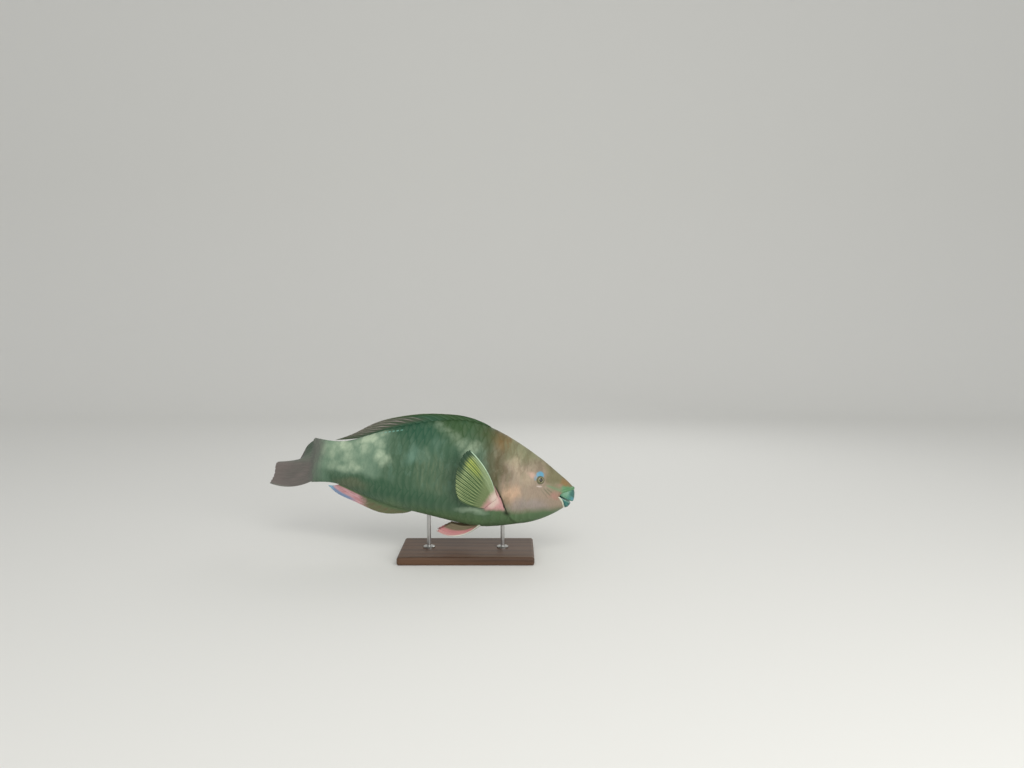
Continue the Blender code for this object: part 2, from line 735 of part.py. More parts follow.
def make_anal_fin(fish):
    edge = spline(ANAL_EDGE)

    def ray(i, v):
        share = i / (ANAL_RAYS - 1)
        s0 = mix(*ANAL_ROOT, share)
        s1 = s0 + mix(*ANAL_SWEEP, share) * MM
        root = place(s0, 0, belly_line(s0) - GAP)
        tip = place(s1, 0, edge(s1))
        bowed = place(mix(s0, s1, ANAL_BOW[0]), 0, mix(belly_line(s0), edge(s1), 0.5) - ANAL_BOW[1])
        return bezier(root, bowed, tip, v)

    bm = fin_solid(
        ANAL_RAYS,
        4,
        between_rays(ray, ANAL_RAYS),
        tapered(ANAL_RAY_HALF),
        tapered(ANAL_WEB_HALF),
    )
    new_object("anal_fin", bm, fish, FIN_ROSE)


def make_caudal_fin(fish):
    mean_fall = spline(CAUDAL_FALL, unit=1)
    fall_ease = spline(CAUDAL_FALL_EASE, unit=1)
    tip_yaw = spline(CAUDAL_TIP_YAW, unit=1)
    steps = CAUDAL_PATH_STEPS
    paths = []
    for i in range(CAUDAL_RAYS):
        at = 2 * i / (CAUDAL_RAYS - 1) - 1
        x, y = spine_point(STANDARD_LENGTH + GAP)
        z = mix(*CAUDAL_ROOT_HEIGHTS, (at + 1) / 2) * MM - y * TAIL_SAG
        path = [(x, y, z)]
        length = CAUDAL_RAY_LENGTH * (1 - CAUDAL_NOTCH * (1 - at * at))
        for k in range(steps):
            share = (k + 0.5) / steps
            turned = min(1.0, share * CAUDAL_YAW_REACH) ** CAUDAL_YAW_EASE
            yaw = mix(TAIL_YAW, math.radians(tip_yaw(at)), turned)
            fall = math.radians(mean_fall(at) + fall_ease(at) * (share - 0.5))
            fall *= smoothstep(share * CAUDAL_FALL_REACH + CAUDAL_FALL_START)
            step = length / steps
            x -= step * math.cos(yaw) * math.cos(fall)
            y += step * math.sin(yaw) * math.cos(fall)
            z += step * math.sin(fall)
            path.append((x, y, z))
        paths.append(path)

    def ray(i, v):
        path = paths[i]
        k = min(int(v * steps), steps - 1)
        share = v * steps - k
        return tip_down(*(mix(a, b, share) for a, b in zip(path[k], path[k + 1], strict=True)))

    def root_half(u):
        across = 2 * u / (CAUDAL_RAYS - 1) - 1
        return mix(*CAUDAL_ROOT_HALF, math.sqrt(max(0.0, 1 - across * across)))

    bm = fin_solid(
        CAUDAL_RAYS,
        8,
        between_rays(ray, CAUDAL_RAYS),
        tapered(CAUDAL_RAY_HALF, root_half, CAUDAL_ROOT_SHARE),
        tapered(CAUDAL_WEB_HALF, root_half, CAUDAL_ROOT_SHARE),
        root=lambda u, offset: place(
            STANDARD_LENGTH + GAP, -offset, mix(*CAUDAL_ROOT_HEIGHTS, u / (CAUDAL_RAYS - 1)) * MM
        ),
    )
    new_object("caudal_fin", bm, fish, FIN_ROSE)


def make_pectoral_fin(name, side, fish):
    tip_s, tip_y, tip_h = (
        spline([(tip[0], tip[axis] * MM) for tip in PECTORAL_TIPS], unit=1) for axis in (1, 2, 3)
    )

    def root_at(u, offset=0.0):
        share = u / (PECTORAL_RAYS - 1)
        (s0, h0), (s1, h1) = PECTORAL_ROOT
        line = Vector((s1 - s0, h1 - h0)).normalized()
        s = mix(s0, s1, share) * MM + line.y * offset
        h = mix(h0, h1, share) * MM - line.x * offset
        return skin_point(s, angle_at(s, h), side, GAP)

    def ray(i, v):
        share = i / (PECTORAL_RAYS - 1)
        root = root_at(i)
        tip = place(tip_s(share), side * tip_y(share), tip_h(share))
        bowed = root.lerp(tip, 0.5) + Vector((0, side * PECTORAL_BOW, 0))
        return bezier(root, bowed, tip, v)

    def root_half(_):
        return PECTORAL_ROOT_HALF

    bm = fin_solid(
        PECTORAL_RAYS,
        6,
        between_rays(ray, PECTORAL_RAYS),
        tapered(PECTORAL_RAY_HALF, root_half, PECTORAL_ROOT_SHARE),
        tapered(PECTORAL_WEB_HALF, root_half, PECTORAL_ROOT_SHARE),
        root=lambda u, offset: root_at(u, side * offset),
    )
    new_object(name, bm, fish, FIN_GREEN)


def make_pelvic_fin(name, side, fish):
    def root_at(u, offset=0.0):
        share = u / (PELVIC_RAYS - 1)
        (s0, y0), (s1, y1) = PELVIC_ROOT
        line = Vector((s1 - s0, y1 - y0)).normalized()
        s = mix(s0, s1, share) * MM - line.y * offset
        y = mix(y0, y1, share) * MM + line.x * offset
        return skin_point(s, belly_angle_at(s, y), side, GAP)

    def ray(i, v):
        share = i / (PELVIC_RAYS - 1)
        first, middle, last = (Vector(tip) * MM for tip in PELVIC_TIPS)
        tip = bezier(first, middle, last, share)
        bow = (Vector(PELVIC_BOW[0]) * MM).lerp(Vector(PELVIC_BOW[1]) * MM, share)
        return bezier(
            root_at(i), place(bow.x, side * bow.y, bow.z), place(tip.x, side * tip.y, tip.z), v
        )

    def root_half(_):
        return PELVIC_ROOT_HALF

    bm = fin_solid(
        PELVIC_RAYS,
        6,
        between_rays(ray, PELVIC_RAYS),
        tapered(PELVIC_RAY_HALF, root_half, PELVIC_ROOT_SHARE),
        tapered(PELVIC_WEB_HALF, root_half, PELVIC_ROOT_SHARE),
        root=lambda u, offset: root_at(u, -side * offset),
    )
    new_object(name, bm, fish, FIN_ROSE)


def make_stand(stand):
    """A flat base and two short rods whose tops are cut to the belly."""
    bm = bmesh.new()
    bmesh.ops.create_cube(bm, size=1)
    size = Matrix.Diagonal((BASE_LENGTH, BASE_WIDTH, BASE_HEIGHT, 1))
    bm.transform(Matrix.Translation((0, 0, BASE_HEIGHT / 2)) @ size)
    base = new_object("stand_base", bm, stand, STAND_WOOD)
    bevel = base.modifiers.new("rounded edges", "BEVEL")
    bevel.width = BASE_ROUND
    bevel.segments = 3
    base.data.set_sharp_from_angle(angle=math.radians(40))
    for name, s in ROD_STATIONS.items():
        where = place(s, 0, belly_line(s))
        bottom, top = BASE_HEIGHT + GAP, where.z + 12 * MM
        rod = turned_rod(name, where.x, where.y, bottom, top, stand)
        clear = cutters("belly")
        swollen_belly("belly_clearance", clear)
        apply_boolean(rod, clear, "DIFFERENCE")
        rod.data.shade_smooth()
        rod.data.set_sharp_from_angle(angle=math.radians(40))


def turned_rod(name, x, y, bottom, top, collection, segments=20):
    """A rod with a round foot."""
    profile = (
        (FOOT_RADIUS, bottom), (FOOT_RADIUS, bottom + FOOT_HEIGHT * 0.7),
        (FOOT_RADIUS - 1.5 * MM, bottom + FOOT_HEIGHT), (ROD_RADIUS, bottom + FOOT_HEIGHT), (ROD_RADIUS, top),
    )
    rings = [
        [
            Vector((x + r * math.cos(math.tau * k / segments), y + r * math.sin(math.tau * k / segments), z))
            for k in range(segments)
        ]
        for r, z in profile
    ]
    bm = ring_loft(rings, Vector((x, y, bottom)), Vector((x, y, top)))
    return new_object(name, bm, collection, STAND_STEEL)


def swollen_belly(name, collection):
    """The body grown by the gap, to cut the rods' tops to it."""
    stations = [s for s in HEAD_STATIONS + TRUNK_STATIONS[1:] if 90 <= s <= 400]
    rings = []
    for station in stations:
        ring = [
            skin_point(station_at(station, angle, 0), angle, side, GAP)
            for angle, side in ring_angles()
        ]
        rings.append(ring)
    hubs = [place(s * MM, 0, wide_level(s * MM)) for s in (stations[0], stations[-1])]
    return new_object(name, ring_loft(rings, *hubs), collection)


def main():
    for obj in list(bpy.data.objects):
        bpy.data.objects.remove(obj)
    fish = bpy.data.collections.new("parrotfish")
    bpy.context.scene.collection.children.link(fish)
    make_head(fish)
    body_length("trunk", TRUNK_STATIONS, SKIN, fish, shift_first=GAP)
    body_length("tail_stalk", TAIL_STATIONS, SKIN, fish, shift_first=GAP)
    make_eyes(fish)
    beak_plate("beak_upper", UPPER_PLATE, -1, fish, BEAK_TEAL)
    beak_plate("beak_lower", LOWER_PLATE, 1, fish, BEAK_TEAL)
    for side, word in ((1, "left"), (-1, "right")):
        make_gill_cover(f"gill_cover_{word}", side, fish)
        make_pectoral_fin(f"pectoral_fin_{word}", side, fish)
        make_pelvic_fin(f"pelvic_fin_{word}", side, fish)
    make_dorsal_fin(fish)
    make_anal_fin(fish)
    make_caudal_fin(fish)
    make_stand(fish)


main()
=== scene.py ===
"""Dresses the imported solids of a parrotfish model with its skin, scales, fins, beak, eyes and stage.

Shapes are worked out in body coordinates, in millimetres: s runs from the snout to the tail along
the body, y is to the fish's left and h is up. place() bends them along the spine, tips the fish
nose down over its stand and turns them into metres.
"""

import math

import bpy
import numpy as np
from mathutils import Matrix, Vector


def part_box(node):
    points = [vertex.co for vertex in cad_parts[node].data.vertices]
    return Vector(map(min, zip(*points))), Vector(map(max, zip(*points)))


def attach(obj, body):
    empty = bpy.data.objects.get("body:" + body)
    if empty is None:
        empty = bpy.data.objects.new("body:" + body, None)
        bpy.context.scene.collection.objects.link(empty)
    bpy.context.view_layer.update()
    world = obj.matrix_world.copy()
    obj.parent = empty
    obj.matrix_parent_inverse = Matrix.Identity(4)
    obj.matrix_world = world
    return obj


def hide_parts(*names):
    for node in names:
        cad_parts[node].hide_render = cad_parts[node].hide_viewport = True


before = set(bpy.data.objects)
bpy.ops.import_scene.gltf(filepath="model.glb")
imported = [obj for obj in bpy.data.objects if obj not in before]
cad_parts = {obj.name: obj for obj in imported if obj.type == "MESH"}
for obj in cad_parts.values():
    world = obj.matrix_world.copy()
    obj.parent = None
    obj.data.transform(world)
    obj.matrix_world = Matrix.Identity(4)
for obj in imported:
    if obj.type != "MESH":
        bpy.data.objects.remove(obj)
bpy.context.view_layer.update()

bl_info = {
    "name": "Parrotfish model",
    "version": (1, 0, 0),
    "blender": (4, 5, 0),
    "location": "View3D > Sidebar > Parrotfish",
    "description": "Skin, scales, fins, beak and eyes of a parrotfish on its stand",
    "category": "Add Mesh",
}

MM = 0.001
NEAR = 0.5  # step for slopes of the skin, in millimetres along it and in degrees round it

# Body: its length, its pose and the height of its axis over the stand
STANDARD_LENGTH = 606
NOSE_DOWN = math.radians(7.7)
BEND_START = 250
TAIL_YAW = math.radians(24)
BEND_EASE = 0.8
TAIL_SAG = 0.15
BALANCE_S = 243
AXIS_OVER_BASE = 155
AXIS_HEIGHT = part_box("stand_base")[1].z / MM + AXIS_OVER_BASE

# Outline of the body, as (s, value)
TOP_LINE = (
    (0, 12.5), (13, 23.5), (40, 42), (80, 68), (130, 95.5), (190, 121), (250, 133),
    (320, 126), (400, 103), (470, 75), (532, 51), (606, 47),
)
BELLY_LINE = (
    (0, -15), (20, -34), (45, -53), (80, -72), (130, -87.5), (200, -101), (250, -99),
    (340, -89), (400, -83), (470, -69), (545, -51.5), (606, -57),
)
HALF_WIDTH = (
    (0, 21), (30, 24.5), (78, 34.5), (130, 45), (190, 52), (250, 54), (330, 50),
    (410, 38), (480, 27), (550, 15.5), (606, 7),
)
NOSE_ROUND = 30
WIDE_LEVEL = 0.47
TOP_SHARPNESS, BELLY_SHARPNESS = 1.15, 1.0

# Gill opening, as (angle up from the side in degrees, s), and the cover that ends there
GILL_CURVE = (
    (-90, 104), (-60, 122), (-38, 142), (-25, 150.5), (-12, 160.7), (-2, 171.5), (8, 180), (22, 183),
    (50, 174), (90, 168),
)
COVER_FRONT = ((-90, 84), (-40, 100), (-15, 108), (5, 118), (24, 140), (90, 150))
COVER_OPEN = (-60, -4)  # angles between which the cover is free
COVER_OPEN_FADE = 9
# Fold of skin over the cover's rear edge and down into the slit, as (along, lift) from the gill curve
COVER_FOLD = (
    (-6, 2.2), (-3.5, 2.4), (-1.4, 2.5), (0.2, 2.4), (1.2, 2.0), (1.8, 1.3), (1.6, 0.6), (0.6, 0.1),
    (-1.0, -0.4), (-2.6, -1.2), (-2.8, -2.2), (-1.4, -3.0), (0.8, -3.2), (2.8, -3.0), (4.0, -2.2),
    (5.2, -1.2), (8, -0.7),
)
SLIT_ROWS = (6, 15)  # rows of the fold that lie in the slit
COVER_LIFT = 2.4  # height of the free cover over the body
COVER_EDGE = 4  # how far past the gill curve the cover still counts

# Mouth, as (s, h)
MOUTH_CORNER = (36, -5)
UPPER_LIP = (MOUTH_CORNER, (34, 1), (29, 6), (21.5, 9.5), (14, 12), (8, 13.2), (4.5, 13.8), (2.8, 14.0))
LOWER_LIP = (MOUTH_CORNER, (31, -9), (27, -14), (24, -20), (21.5, -26.5), (18.5, -31), (17.2, -32.0))
MOUTH_TIP = (6, -22)
UPPER_LIP_SIZE, LOWER_LIP_SIZE = (3.6, 2.5), (1.8, 1.6)
LIP_SINK = 0.45
LIP_TAPER = 0.55
BITE_GAP = 2.2
PLATE_GAP = 0.3
PLATE_FULLNESS = 0.82
UPPER_PLATE = (
    (0, 1.5, 34.2, 20.0), (3.2, 0.0, 35.8, 21.0), (9, -1.5, 36.0, 21.0), (15.6, -0.5, 33.6, 19.4),
    (22.6, 5.5, 29.2, 15.8), (27.5, 11.5, 24.6, 10.5), (29.8, 15.0, 21.4, 5.5),
)
LOWER_PLATE = (
    (0, 4.0, 33.4, 18.8), (2.8, 6.5, 34.8, 18.8), (6.5, 11.5, 35.0, 17.0), (10.5, 17.0, 33.4, 13.6),
    (13.6, 21.0, 30.0, 8.5),
)
BITE_RAISE, BITE_RAISE_REACH = 4.6, 13  # how far the bite rises at the front, fading away from it
TEETH = 30  # scallops along the bite of a plate

# Eye
EYE_AT = (81.3, 27.2)
EYE_RADIUS, EYE_DEPTH = 12.6, 7.8
PUPIL_RADIUS, IRIS_RADIUS = 3.9, 8.6
NOSTRILS = ((58, 30, 1.3), (64.5, 33, 1.7))
# Eyelid and nostril, as (distance from the middle, lift)
LID_PROFILE = (
    (8.3, -1.2), (8.7, 0.6), (9.1, 1.3), (9.8, 1.75), (10.7, 1.9), (11.8, 1.7), (13, 1.2), (14.4, 0.75),
    (16, 0.4), (18, 0.15), (20, -0.1), (22, -0.5),
)
NOSTRIL_PROFILE = (
    (0.0, -1.5), (0.45, -1.4), (0.8, -0.6), (1.0, 0.1), (1.25, 0.32), (1.6, 0.25), (2.1, 0.05), (2.8, -0.25),
)

# Fins
DORSAL_RAYS, DORSAL_SPINES = 19, 9
DORSAL_ROOT = (205, 505)
DORSAL_TIPS = ((0, 250), (0.25, 345), (0.5, 436), (0.75, 510), (1, 562))
DORSAL_EDGE = (
    (222, 132.5), (268, 142), (318, 140), (368, 133), (407, 123), (448, 109), (478, 94), (512, 72),
    (562, 48.3),
)
DORSAL_BOW = (0.3, 0.85)  # where a ray bends, in shares of its sweep and its height
ANAL_RAYS, ANAL_SPINES = 12, 3
ANAL_ROOT = (358, 538)
ANAL_EDGE = (
    (372, -93), (396, -99.5), (421, -102), (454, -97), (489, -87), (520, -79.5), (544, -71.5), (566, -58),
)
ANAL_SWEEP = (24, 28)
ANAL_BOW = (0.45, 3)
CAUDAL_RAYS = 15
CAUDAL_RAY_LENGTH = 137
CAUDAL_NOTCH = 0.12
CAUDAL_ROOT_HEIGHTS = (-55, 45)
CAUDAL_FALL = ((-1, -15), (-0.5, -14.5), (0, -14), (0.3, -24), (0.7, -32), (1, -35))
CAUDAL_FALL_EASE = ((-1, 40), (0, 4), (1, 0))
CAUDAL_TIP_YAW = ((-1, 27), (-0.4, 28), (0, 32), (0.3, 52), (0.7, 64), (1, 66))
CAUDAL_YAW_REACH, CAUDAL_YAW_EASE = 2.2, 0.8
CAUDAL_FALL_REACH, CAUDAL_FALL_START = 6, 0.3
CAUDAL_PATH_STEPS = 96
PECTORAL_RAYS = 14
PECTORAL_ROOT = ((174, -18), (198, -46))
PECTORAL_TIPS = (
    (0, 243, 92, 84), (0.1, 252, 95, 79), (0.27, 261, 98, 59), (0.44, 265, 98, 38), (0.6, 265.5, 95, 17),
    (0.75, 264, 90, 0), (0.88, 260, 85, -15), (1, 252, 79, -31),
)
PECTORAL_BOW = ((-17, 8, 12), (3, 8, -11))
PELVIC_RAYS = 6
PELVIC_ROOT = ((201, 17), (214, 9))
PELVIC_TIPS = ((297, 11, -122), (284, 10, -113.5), (266, 9, -101))
PELVIC_BOW = ((246, 19, -145), (238, 12, -105))

# Half thicknesses of the fins: of a ray at its root and tip, and of the web at its root and tip
DORSAL_HALVES = (1.5, 0.45, 0.8, 0.3)
ANAL_HALVES = PELVIC_HALVES = (1.5, 0.5, 0.8, 0.3)
CAUDAL_HALVES = (1.5, 0.5, 0.9, 0.3)
PECTORAL_HALVES = (1.3, 0.45, 0.6, 0.3)
# Half thickness of a fin's fleshy root, and the share of the rays that it takes up
CAUDAL_FLESH, CAUDAL_FLESH_SHARE = (1.2, 5.2), 0.22  # at the fin's edges and in its middle
PECTORAL_FLESH, PELVIC_FLESH, FLESH_SHARE = 2.3, 2.1, 0.2

SIDES = ((1, "left"), (-1, "right"))

# Camera
CAMERA_AT = (0.1012, -1.8900, 0.5555)
CAMERA_DOWN = math.radians(5.03)
CAMERA_LENS = 29.953


def add_object(name, data):
    """A new object in the scene."""
    obj = bpy.data.objects.new(name, data)
    bpy.context.scene.collection.objects.link(obj)
    return obj


def srgb(red, green, blue):
    """A linear colour from the 0 to 255 values that a screen shows."""
    found = []
    for channel in (red, green, blue):
        c = channel / 255
        found.append(c / 12.92 if c <= 0.04045 else ((c + 0.055) / 1.055) ** 2.4)
    return tuple(found)


def colour(name, description, *rgb):
    return bpy.props.FloatVectorProperty(
        name=name, description=description, default=srgb(*rgb), size=3, min=0, max=1, subtype="COLOR"
    )


# Shape maths


class Curve:
    """A natural cubic curve through (place, value) knots."""

    def __init__(self, knots):
        self.x, self.y = np.array(knots, float).T
        self.step = np.diff(self.x)
        slope = np.diff(self.y) / self.step
        system = np.eye(len(self.x))
        bend = np.zeros(len(self.x))
        for i in range(1, len(self.x) - 1):
            system[i, i - 1 : i + 2] = self.step[i - 1], 2 * (self.step[i - 1] + self.step[i]), self.step[i]
            bend[i] = 6 * (slope[i] - slope[i - 1])
        self.second = np.linalg.solve(system, bend)

    def __call__(self, at):
        at = np.asarray(at, float)
        i = np.clip(np.searchsorted(self.x, at) - 1, 0, len(self.step) - 1)
        a, b, step = self.x[i + 1] - at, at - self.x[i], self.step[i]
        near, far = self.second[i], self.second[i + 1]
        return (
            (near * a**3 + far * b**3) / (6 * step)
            + (self.y[i] / step - near * step / 6) * a
            + (self.y[i + 1] / step - far * step / 6) * b
        )


def smoothstep(x, low=0.0, high=1.0):
    x = np.clip((np.asarray(x, float) - low) / (high - low), 0.0, 1.0)
    return x * x * (3 - 2 * x)


def mix(a, b, share):
    return a + (b - a) * share


def bump(distance, reach):
    """1 at no distance, falling smoothly to 0 at reach."""
    return 1 - smoothstep(np.abs(distance) / reach)


top_line, belly_line, full_width = Curve(TOP_LINE), Curve(BELLY_LINE), Curve(HALF_WIDTH)
gill_station = Curve(GILL_CURVE)
cover_front = Curve(COVER_FRONT)


def half_width(s):
    nose = np.clip(1 - s / NOSE_ROUND, 0.0, 1.0)
    return full_width(s) * np.sqrt(1 - nose * nose)


def wide_level(s):
    return mix(belly_line(s), top_line(s), WIDE_LEVEL)


def yaw_at(s):
    swung = (s - BEND_START) / (STANDARD_LENGTH - BEND_START)
    return TAIL_YAW * smoothstep(swung * BEND_EASE) / smoothstep(BEND_EASE)


SPINE_S = np.arange(STANDARD_LENGTH + 2)
SPINE_X = -np.concatenate(([0], np.cumsum(np.cos(yaw_at(SPINE_S[:-1] + 0.5)))))
SPINE_Y = np.concatenate(([0], np.cumsum(np.sin(yaw_at(SPINE_S[:-1] + 0.5)))))
BALANCE_X = np.interp(BALANCE_S, SPINE_S, SPINE_X)


def tip_down(x, y, z):
    """Points beside the straight fish, in millimetres, tipped nose down over the stand, in metres."""
    x = x - BALANCE_X
    tipped = (
        x * math.cos(NOSE_DOWN) + z * math.sin(NOSE_DOWN),
        y,
        AXIS_HEIGHT - x * math.sin(NOSE_DOWN) + z * math.cos(NOSE_DOWN),
    )
    return np.stack(np.broadcast_arrays(*tipped), axis=-1) * MM


def spine_point(s):
    inside = np.clip(s, 0, STANDARD_LENGTH)
    past = s - inside
    yaw = yaw_at(inside)
    x = np.interp(inside, SPINE_S, SPINE_X) - past * np.cos(yaw)
    return x, np.interp(inside, SPINE_S, SPINE_Y) + past * np.sin(yaw)


def place(s, y, h):
    """Points in body coordinates, in metres in the model's own frame."""
    s, y, h = (np.asarray(value, float) for value in (s, y, h))
    x0, y0 = spine_point(s)
    yaw = yaw_at(np.minimum(s, STANDARD_LENGTH))
    return tip_down(x0 + y * np.sin(yaw), y0 + y * np.cos(yaw), h - y0 * TAIL_SAG)


def section(s, turn):
    """(y, h) of the skin. turn is in degrees: 0 on the left, 90 on the back and 180 on the right."""
    cos, sin = np.cos(np.radians(turn)), np.sin(np.radians(turn))
    sharpness = np.where(sin > 0, TOP_SHARPNESS, BELLY_SHARPNESS)
    end = np.where(sin > 0, top_line(s), belly_line(s))
    y = half_width(s) * np.sign(cos) * np.abs(cos) ** sharpness
    return y, mix(wide_level(s), end, np.abs(sin))


def skin_point(s, turn):
    y, h = section(s, turn)
    return place(s, y, h)


def skin_normal(s, turn):
    along = skin_point(s + NEAR, turn) - skin_point(s - NEAR, turn)
    across = skin_point(s, turn + NEAR) - skin_point(s, turn - NEAR)
    normal = np.cross(along, across)
    return normal / np.maximum(np.linalg.norm(normal, axis=-1, keepdims=True), 1e-12)


def lifted(s, turn, lift):
    """Points lifted off the skin along its normal, by millimetres."""
    return skin_point(s, turn) + skin_normal(s, turn) * np.asarray(lift)[..., None] * MM


def elevation(turn):
    """The angle up from the side, in degrees, at a turn round the section."""
    return np.degrees(np.arcsin(np.clip(np.sin(np.radians(turn)), -1, 1)))


def turn_at(s, h, side):
    """The turn round the section at height h. side is 1 on the left and -1 on the right."""
    level = wide_level(s)
    end = np.where(h > level, top_line(s), belly_line(s))
    angle = np.degrees(np.arcsin(np.clip((h - level) / np.abs(end - level), -1, 1)))
    return angle if side > 0 else 180 - angle


def unit(vector):
    return vector / np.linalg.norm(vector, axis=-1, keepdims=True)


def eye_frame(side):
    """(point on the skin over the eye, outward direction)."""
    s, h = EYE_AT
    turn = turn_at(s, h, side)
    return skin_point(s, turn), skin_normal(s, turn)


# Relief of the skin


def covered(angle):
    """1 where the gill cover is free, and 0 where it has grown to the body."""
    low, high = COVER_OPEN
    return smoothstep(angle, low - COVER_OPEN_FADE, low) * smoothstep(-angle, -high - COVER_OPEN_FADE, -high)


# Swellings and hollows of the head and shoulder, as (s, h, reach along, reach up, lift)
SWELLINGS = (
    (86, 43, 16, 7, 1.0), (62, 20, 14, 11, -1.2), (100, 4, 26, 9, -0.7), (112, -24, 30, 24, 1.6),
    (48, -12, 10, 12, 0.9), (70, -38, 22, 10, -0.5), (128, 34, 20, 20, -0.6), (190, -33, 24, 20, 1.6),
    (205, -88, 18, 9, 1.2), (40, 28, 14, 8, 0.8),
)
SCALE_BED = 0.75  # depth at which the scaled skin lies under the solids' surface
# Where the scales start, as (angle up from the side, s)
SCALE_FRONT = (
    (-90, 112), (-60, 84), (-40, 74), (-20, 74), (0, 84), (14, 104), (30, 114), (55, 102), (90, 84),
)
scale_front = Curve(SCALE_FRONT)
BARE_DEPTH = 0.15


def scaled(s, angle):
    """1 where the skin carries scales, falling to 0 in front of them."""
    return smoothstep(s, scale_front(angle) - 5, scale_front(angle) + 9)


def relief(s, turn):
    """Lift of the skin, apart from the fold of the gill cover."""
    angle = elevation(turn)
    _, h = section(s, turn)
    lift = -mix(BARE_DEPTH, SCALE_BED, scaled(s, angle))
    for s0, h0, along, up, amount in SWELLINGS:
        lift = lift + amount * bump(np.hypot((s - s0) / along, (h - h0) / up), 1.0)
    rise = smoothstep((s - cover_front(angle)) / np.maximum(gill_station(angle) - cover_front(angle), 1))
    on_cover = s <= gill_station(angle) + COVER_EDGE
    return lift + np.where(on_cover, COVER_LIFT * covered(angle) * rise**1.5, 0.0)


# Mesh making


def grid_faces(rows, columns, wrap):
    """Quads over a grid of points, and the corners' places in the grid, unwrapped past its last column."""
    count = columns if wrap else columns - 1
    i, j = np.meshgrid(np.arange(rows - 1), np.arange(count), indexing="ij")
    corners = ((i, j), (i, j + 1), (i + 1, j + 1), (i + 1, j))
    quads = np.stack([a * columns + b % columns for a, b in corners], axis=-1).reshape(-1, 4)
    return quads, [(a.ravel(), b.ravel()) for a, b in corners]


class Surface:
    """Collects grids of points into one mesh, with what its material and its baked map read."""

    def __init__(self, *attributes):
        self.points, self.faces, self.maps, self.count = [], [], [], 0
        self.attributes = {name: [] for name in attributes}

    def grid(self, points, uv, wrap=False, flip=False, **values):
        """Adds a grid. uv has one column more than the points where the grid wraps round."""
        rows, columns = points.shape[:2]
        quads, corners = grid_faces(rows, columns, wrap)
        quads = quads + self.count
        maps = np.stack([uv[a, b] for a, b in corners], axis=1)
        if flip:
            quads, maps = quads[:, ::-1], maps[:, ::-1]
        self.faces.append(quads)
        self.maps.append(maps.reshape(-1, 2))
        self.points.append(points.reshape(-1, 3))
        self.count += rows * columns
        for name, kept in self.attributes.items():
            kept.append(np.broadcast_to(values[name], points.shape).reshape(-1, 3))

    def sheet(self, upper, lower, uv, **values):
        """Adds a closed thin solid between two grids of points."""
        rows, columns = upper.shape[:2]
        start = self.count
        self.grid(upper, uv, **values)
        self.grid(lower, uv, flip=True, **values)
        rim = [(0, j) for j in range(columns)]
        rim += [(i, columns - 1) for i in range(1, rows)]
        rim += [(rows - 1, j) for j in range(columns - 2, -1, -1)]
        rim += [(i, 0) for i in range(rows - 2, 0, -1)]
        at = np.array(rim)
        top = start + at[:, 0] * columns + at[:, 1]
        under = top + rows * columns
        ahead = np.roll(np.arange(len(at)), -1)
        self.faces.append(np.stack([top, under, under[ahead], top[ahead]], axis=-1))
        edge = uv[at[:, 0], at[:, 1]]
        self.maps.append(np.stack([edge, edge, edge[ahead], edge[ahead]], axis=1).reshape(-1, 2))

    def piece(self, name, look, slot, *replaced, sharp=None):
        """The finished object, with its map, riding on the model's one body."""
        mesh = bpy.data.meshes.new(name)
        faces = np.concatenate(self.faces)
        mesh.from_pydata(np.concatenate(self.points).tolist(), [], faces.tolist())
        for attribute, kept in self.attributes.items():
            layer = mesh.attributes.new(attribute, "FLOAT_VECTOR", "POINT")
            layer.data.foreach_set("vector", np.concatenate(kept).astype(np.float32).ravel())
        uv = mesh.uv_layers.new(name="OFBake")
        uv.data.foreach_set("uv", np.concatenate(self.maps).astype(np.float32).ravel())
        mesh.materials.append(look)
        mesh.shade_smooth()
        if sharp:
            mesh.set_sharp_from_angle(angle=math.radians(sharp))
        obj = add_object(name, mesh)
        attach(obj, "root")
        if replaced:
            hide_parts(*replaced)
        return obj


def plain_map(rows, columns, low=(0.0, 0.0), high=(1.0, 1.0)):
    """A rectangle of the map for a grid."""
    across, along = np.meshgrid(np.linspace(low[0], high[0], columns), np.linspace(low[1], high[1], rows))
    return np.stack([across, along], axis=-1)


def closing_rows(ring, centre, rows):
    """Rows that close a ring of points towards a centre."""
    shares = np.linspace(1, 0, rows + 1)[1:]
    return [centre + (ring - centre) * max(share, 1e-4) for share in shares]


# Shader maths


class Socket:
    """An output of a node. Arithmetic on it adds Math nodes."""

    def __init__(self, shader, socket):
        self.shader, self.socket = shader, socket

    def _math(self, operation, *values):
        return self.shader.node("ShaderNodeMath", {"operation": operation}, dict(enumerate(values)))

    def __add__(self, other):
        return self._math("ADD", self, other)

    def __sub__(self, other):
        return self._math("SUBTRACT", self, other)

    def __rsub__(self, other):
        return self._math("SUBTRACT", other, self)

    def __mul__(self, other):
        return self._math("MULTIPLY", self, other)

    def __truediv__(self, other):
        return self._math("DIVIDE", self, other)

    def __pow__(self, other):
        return self._math("POWER", self, other)

    def __abs__(self):
        return self._math("ABSOLUTE", self)

    __radd__ = __add__
    __rmul__ = __mul__

    def fraction(self):
        return self._math("FRACT", self)

    def wave(self):
        return self._math("SINE", self)

    def greater(self, other):
        return self._math("MAXIMUM", self, other)

    def less(self, other):
        return self._math("MINIMUM", self, other)


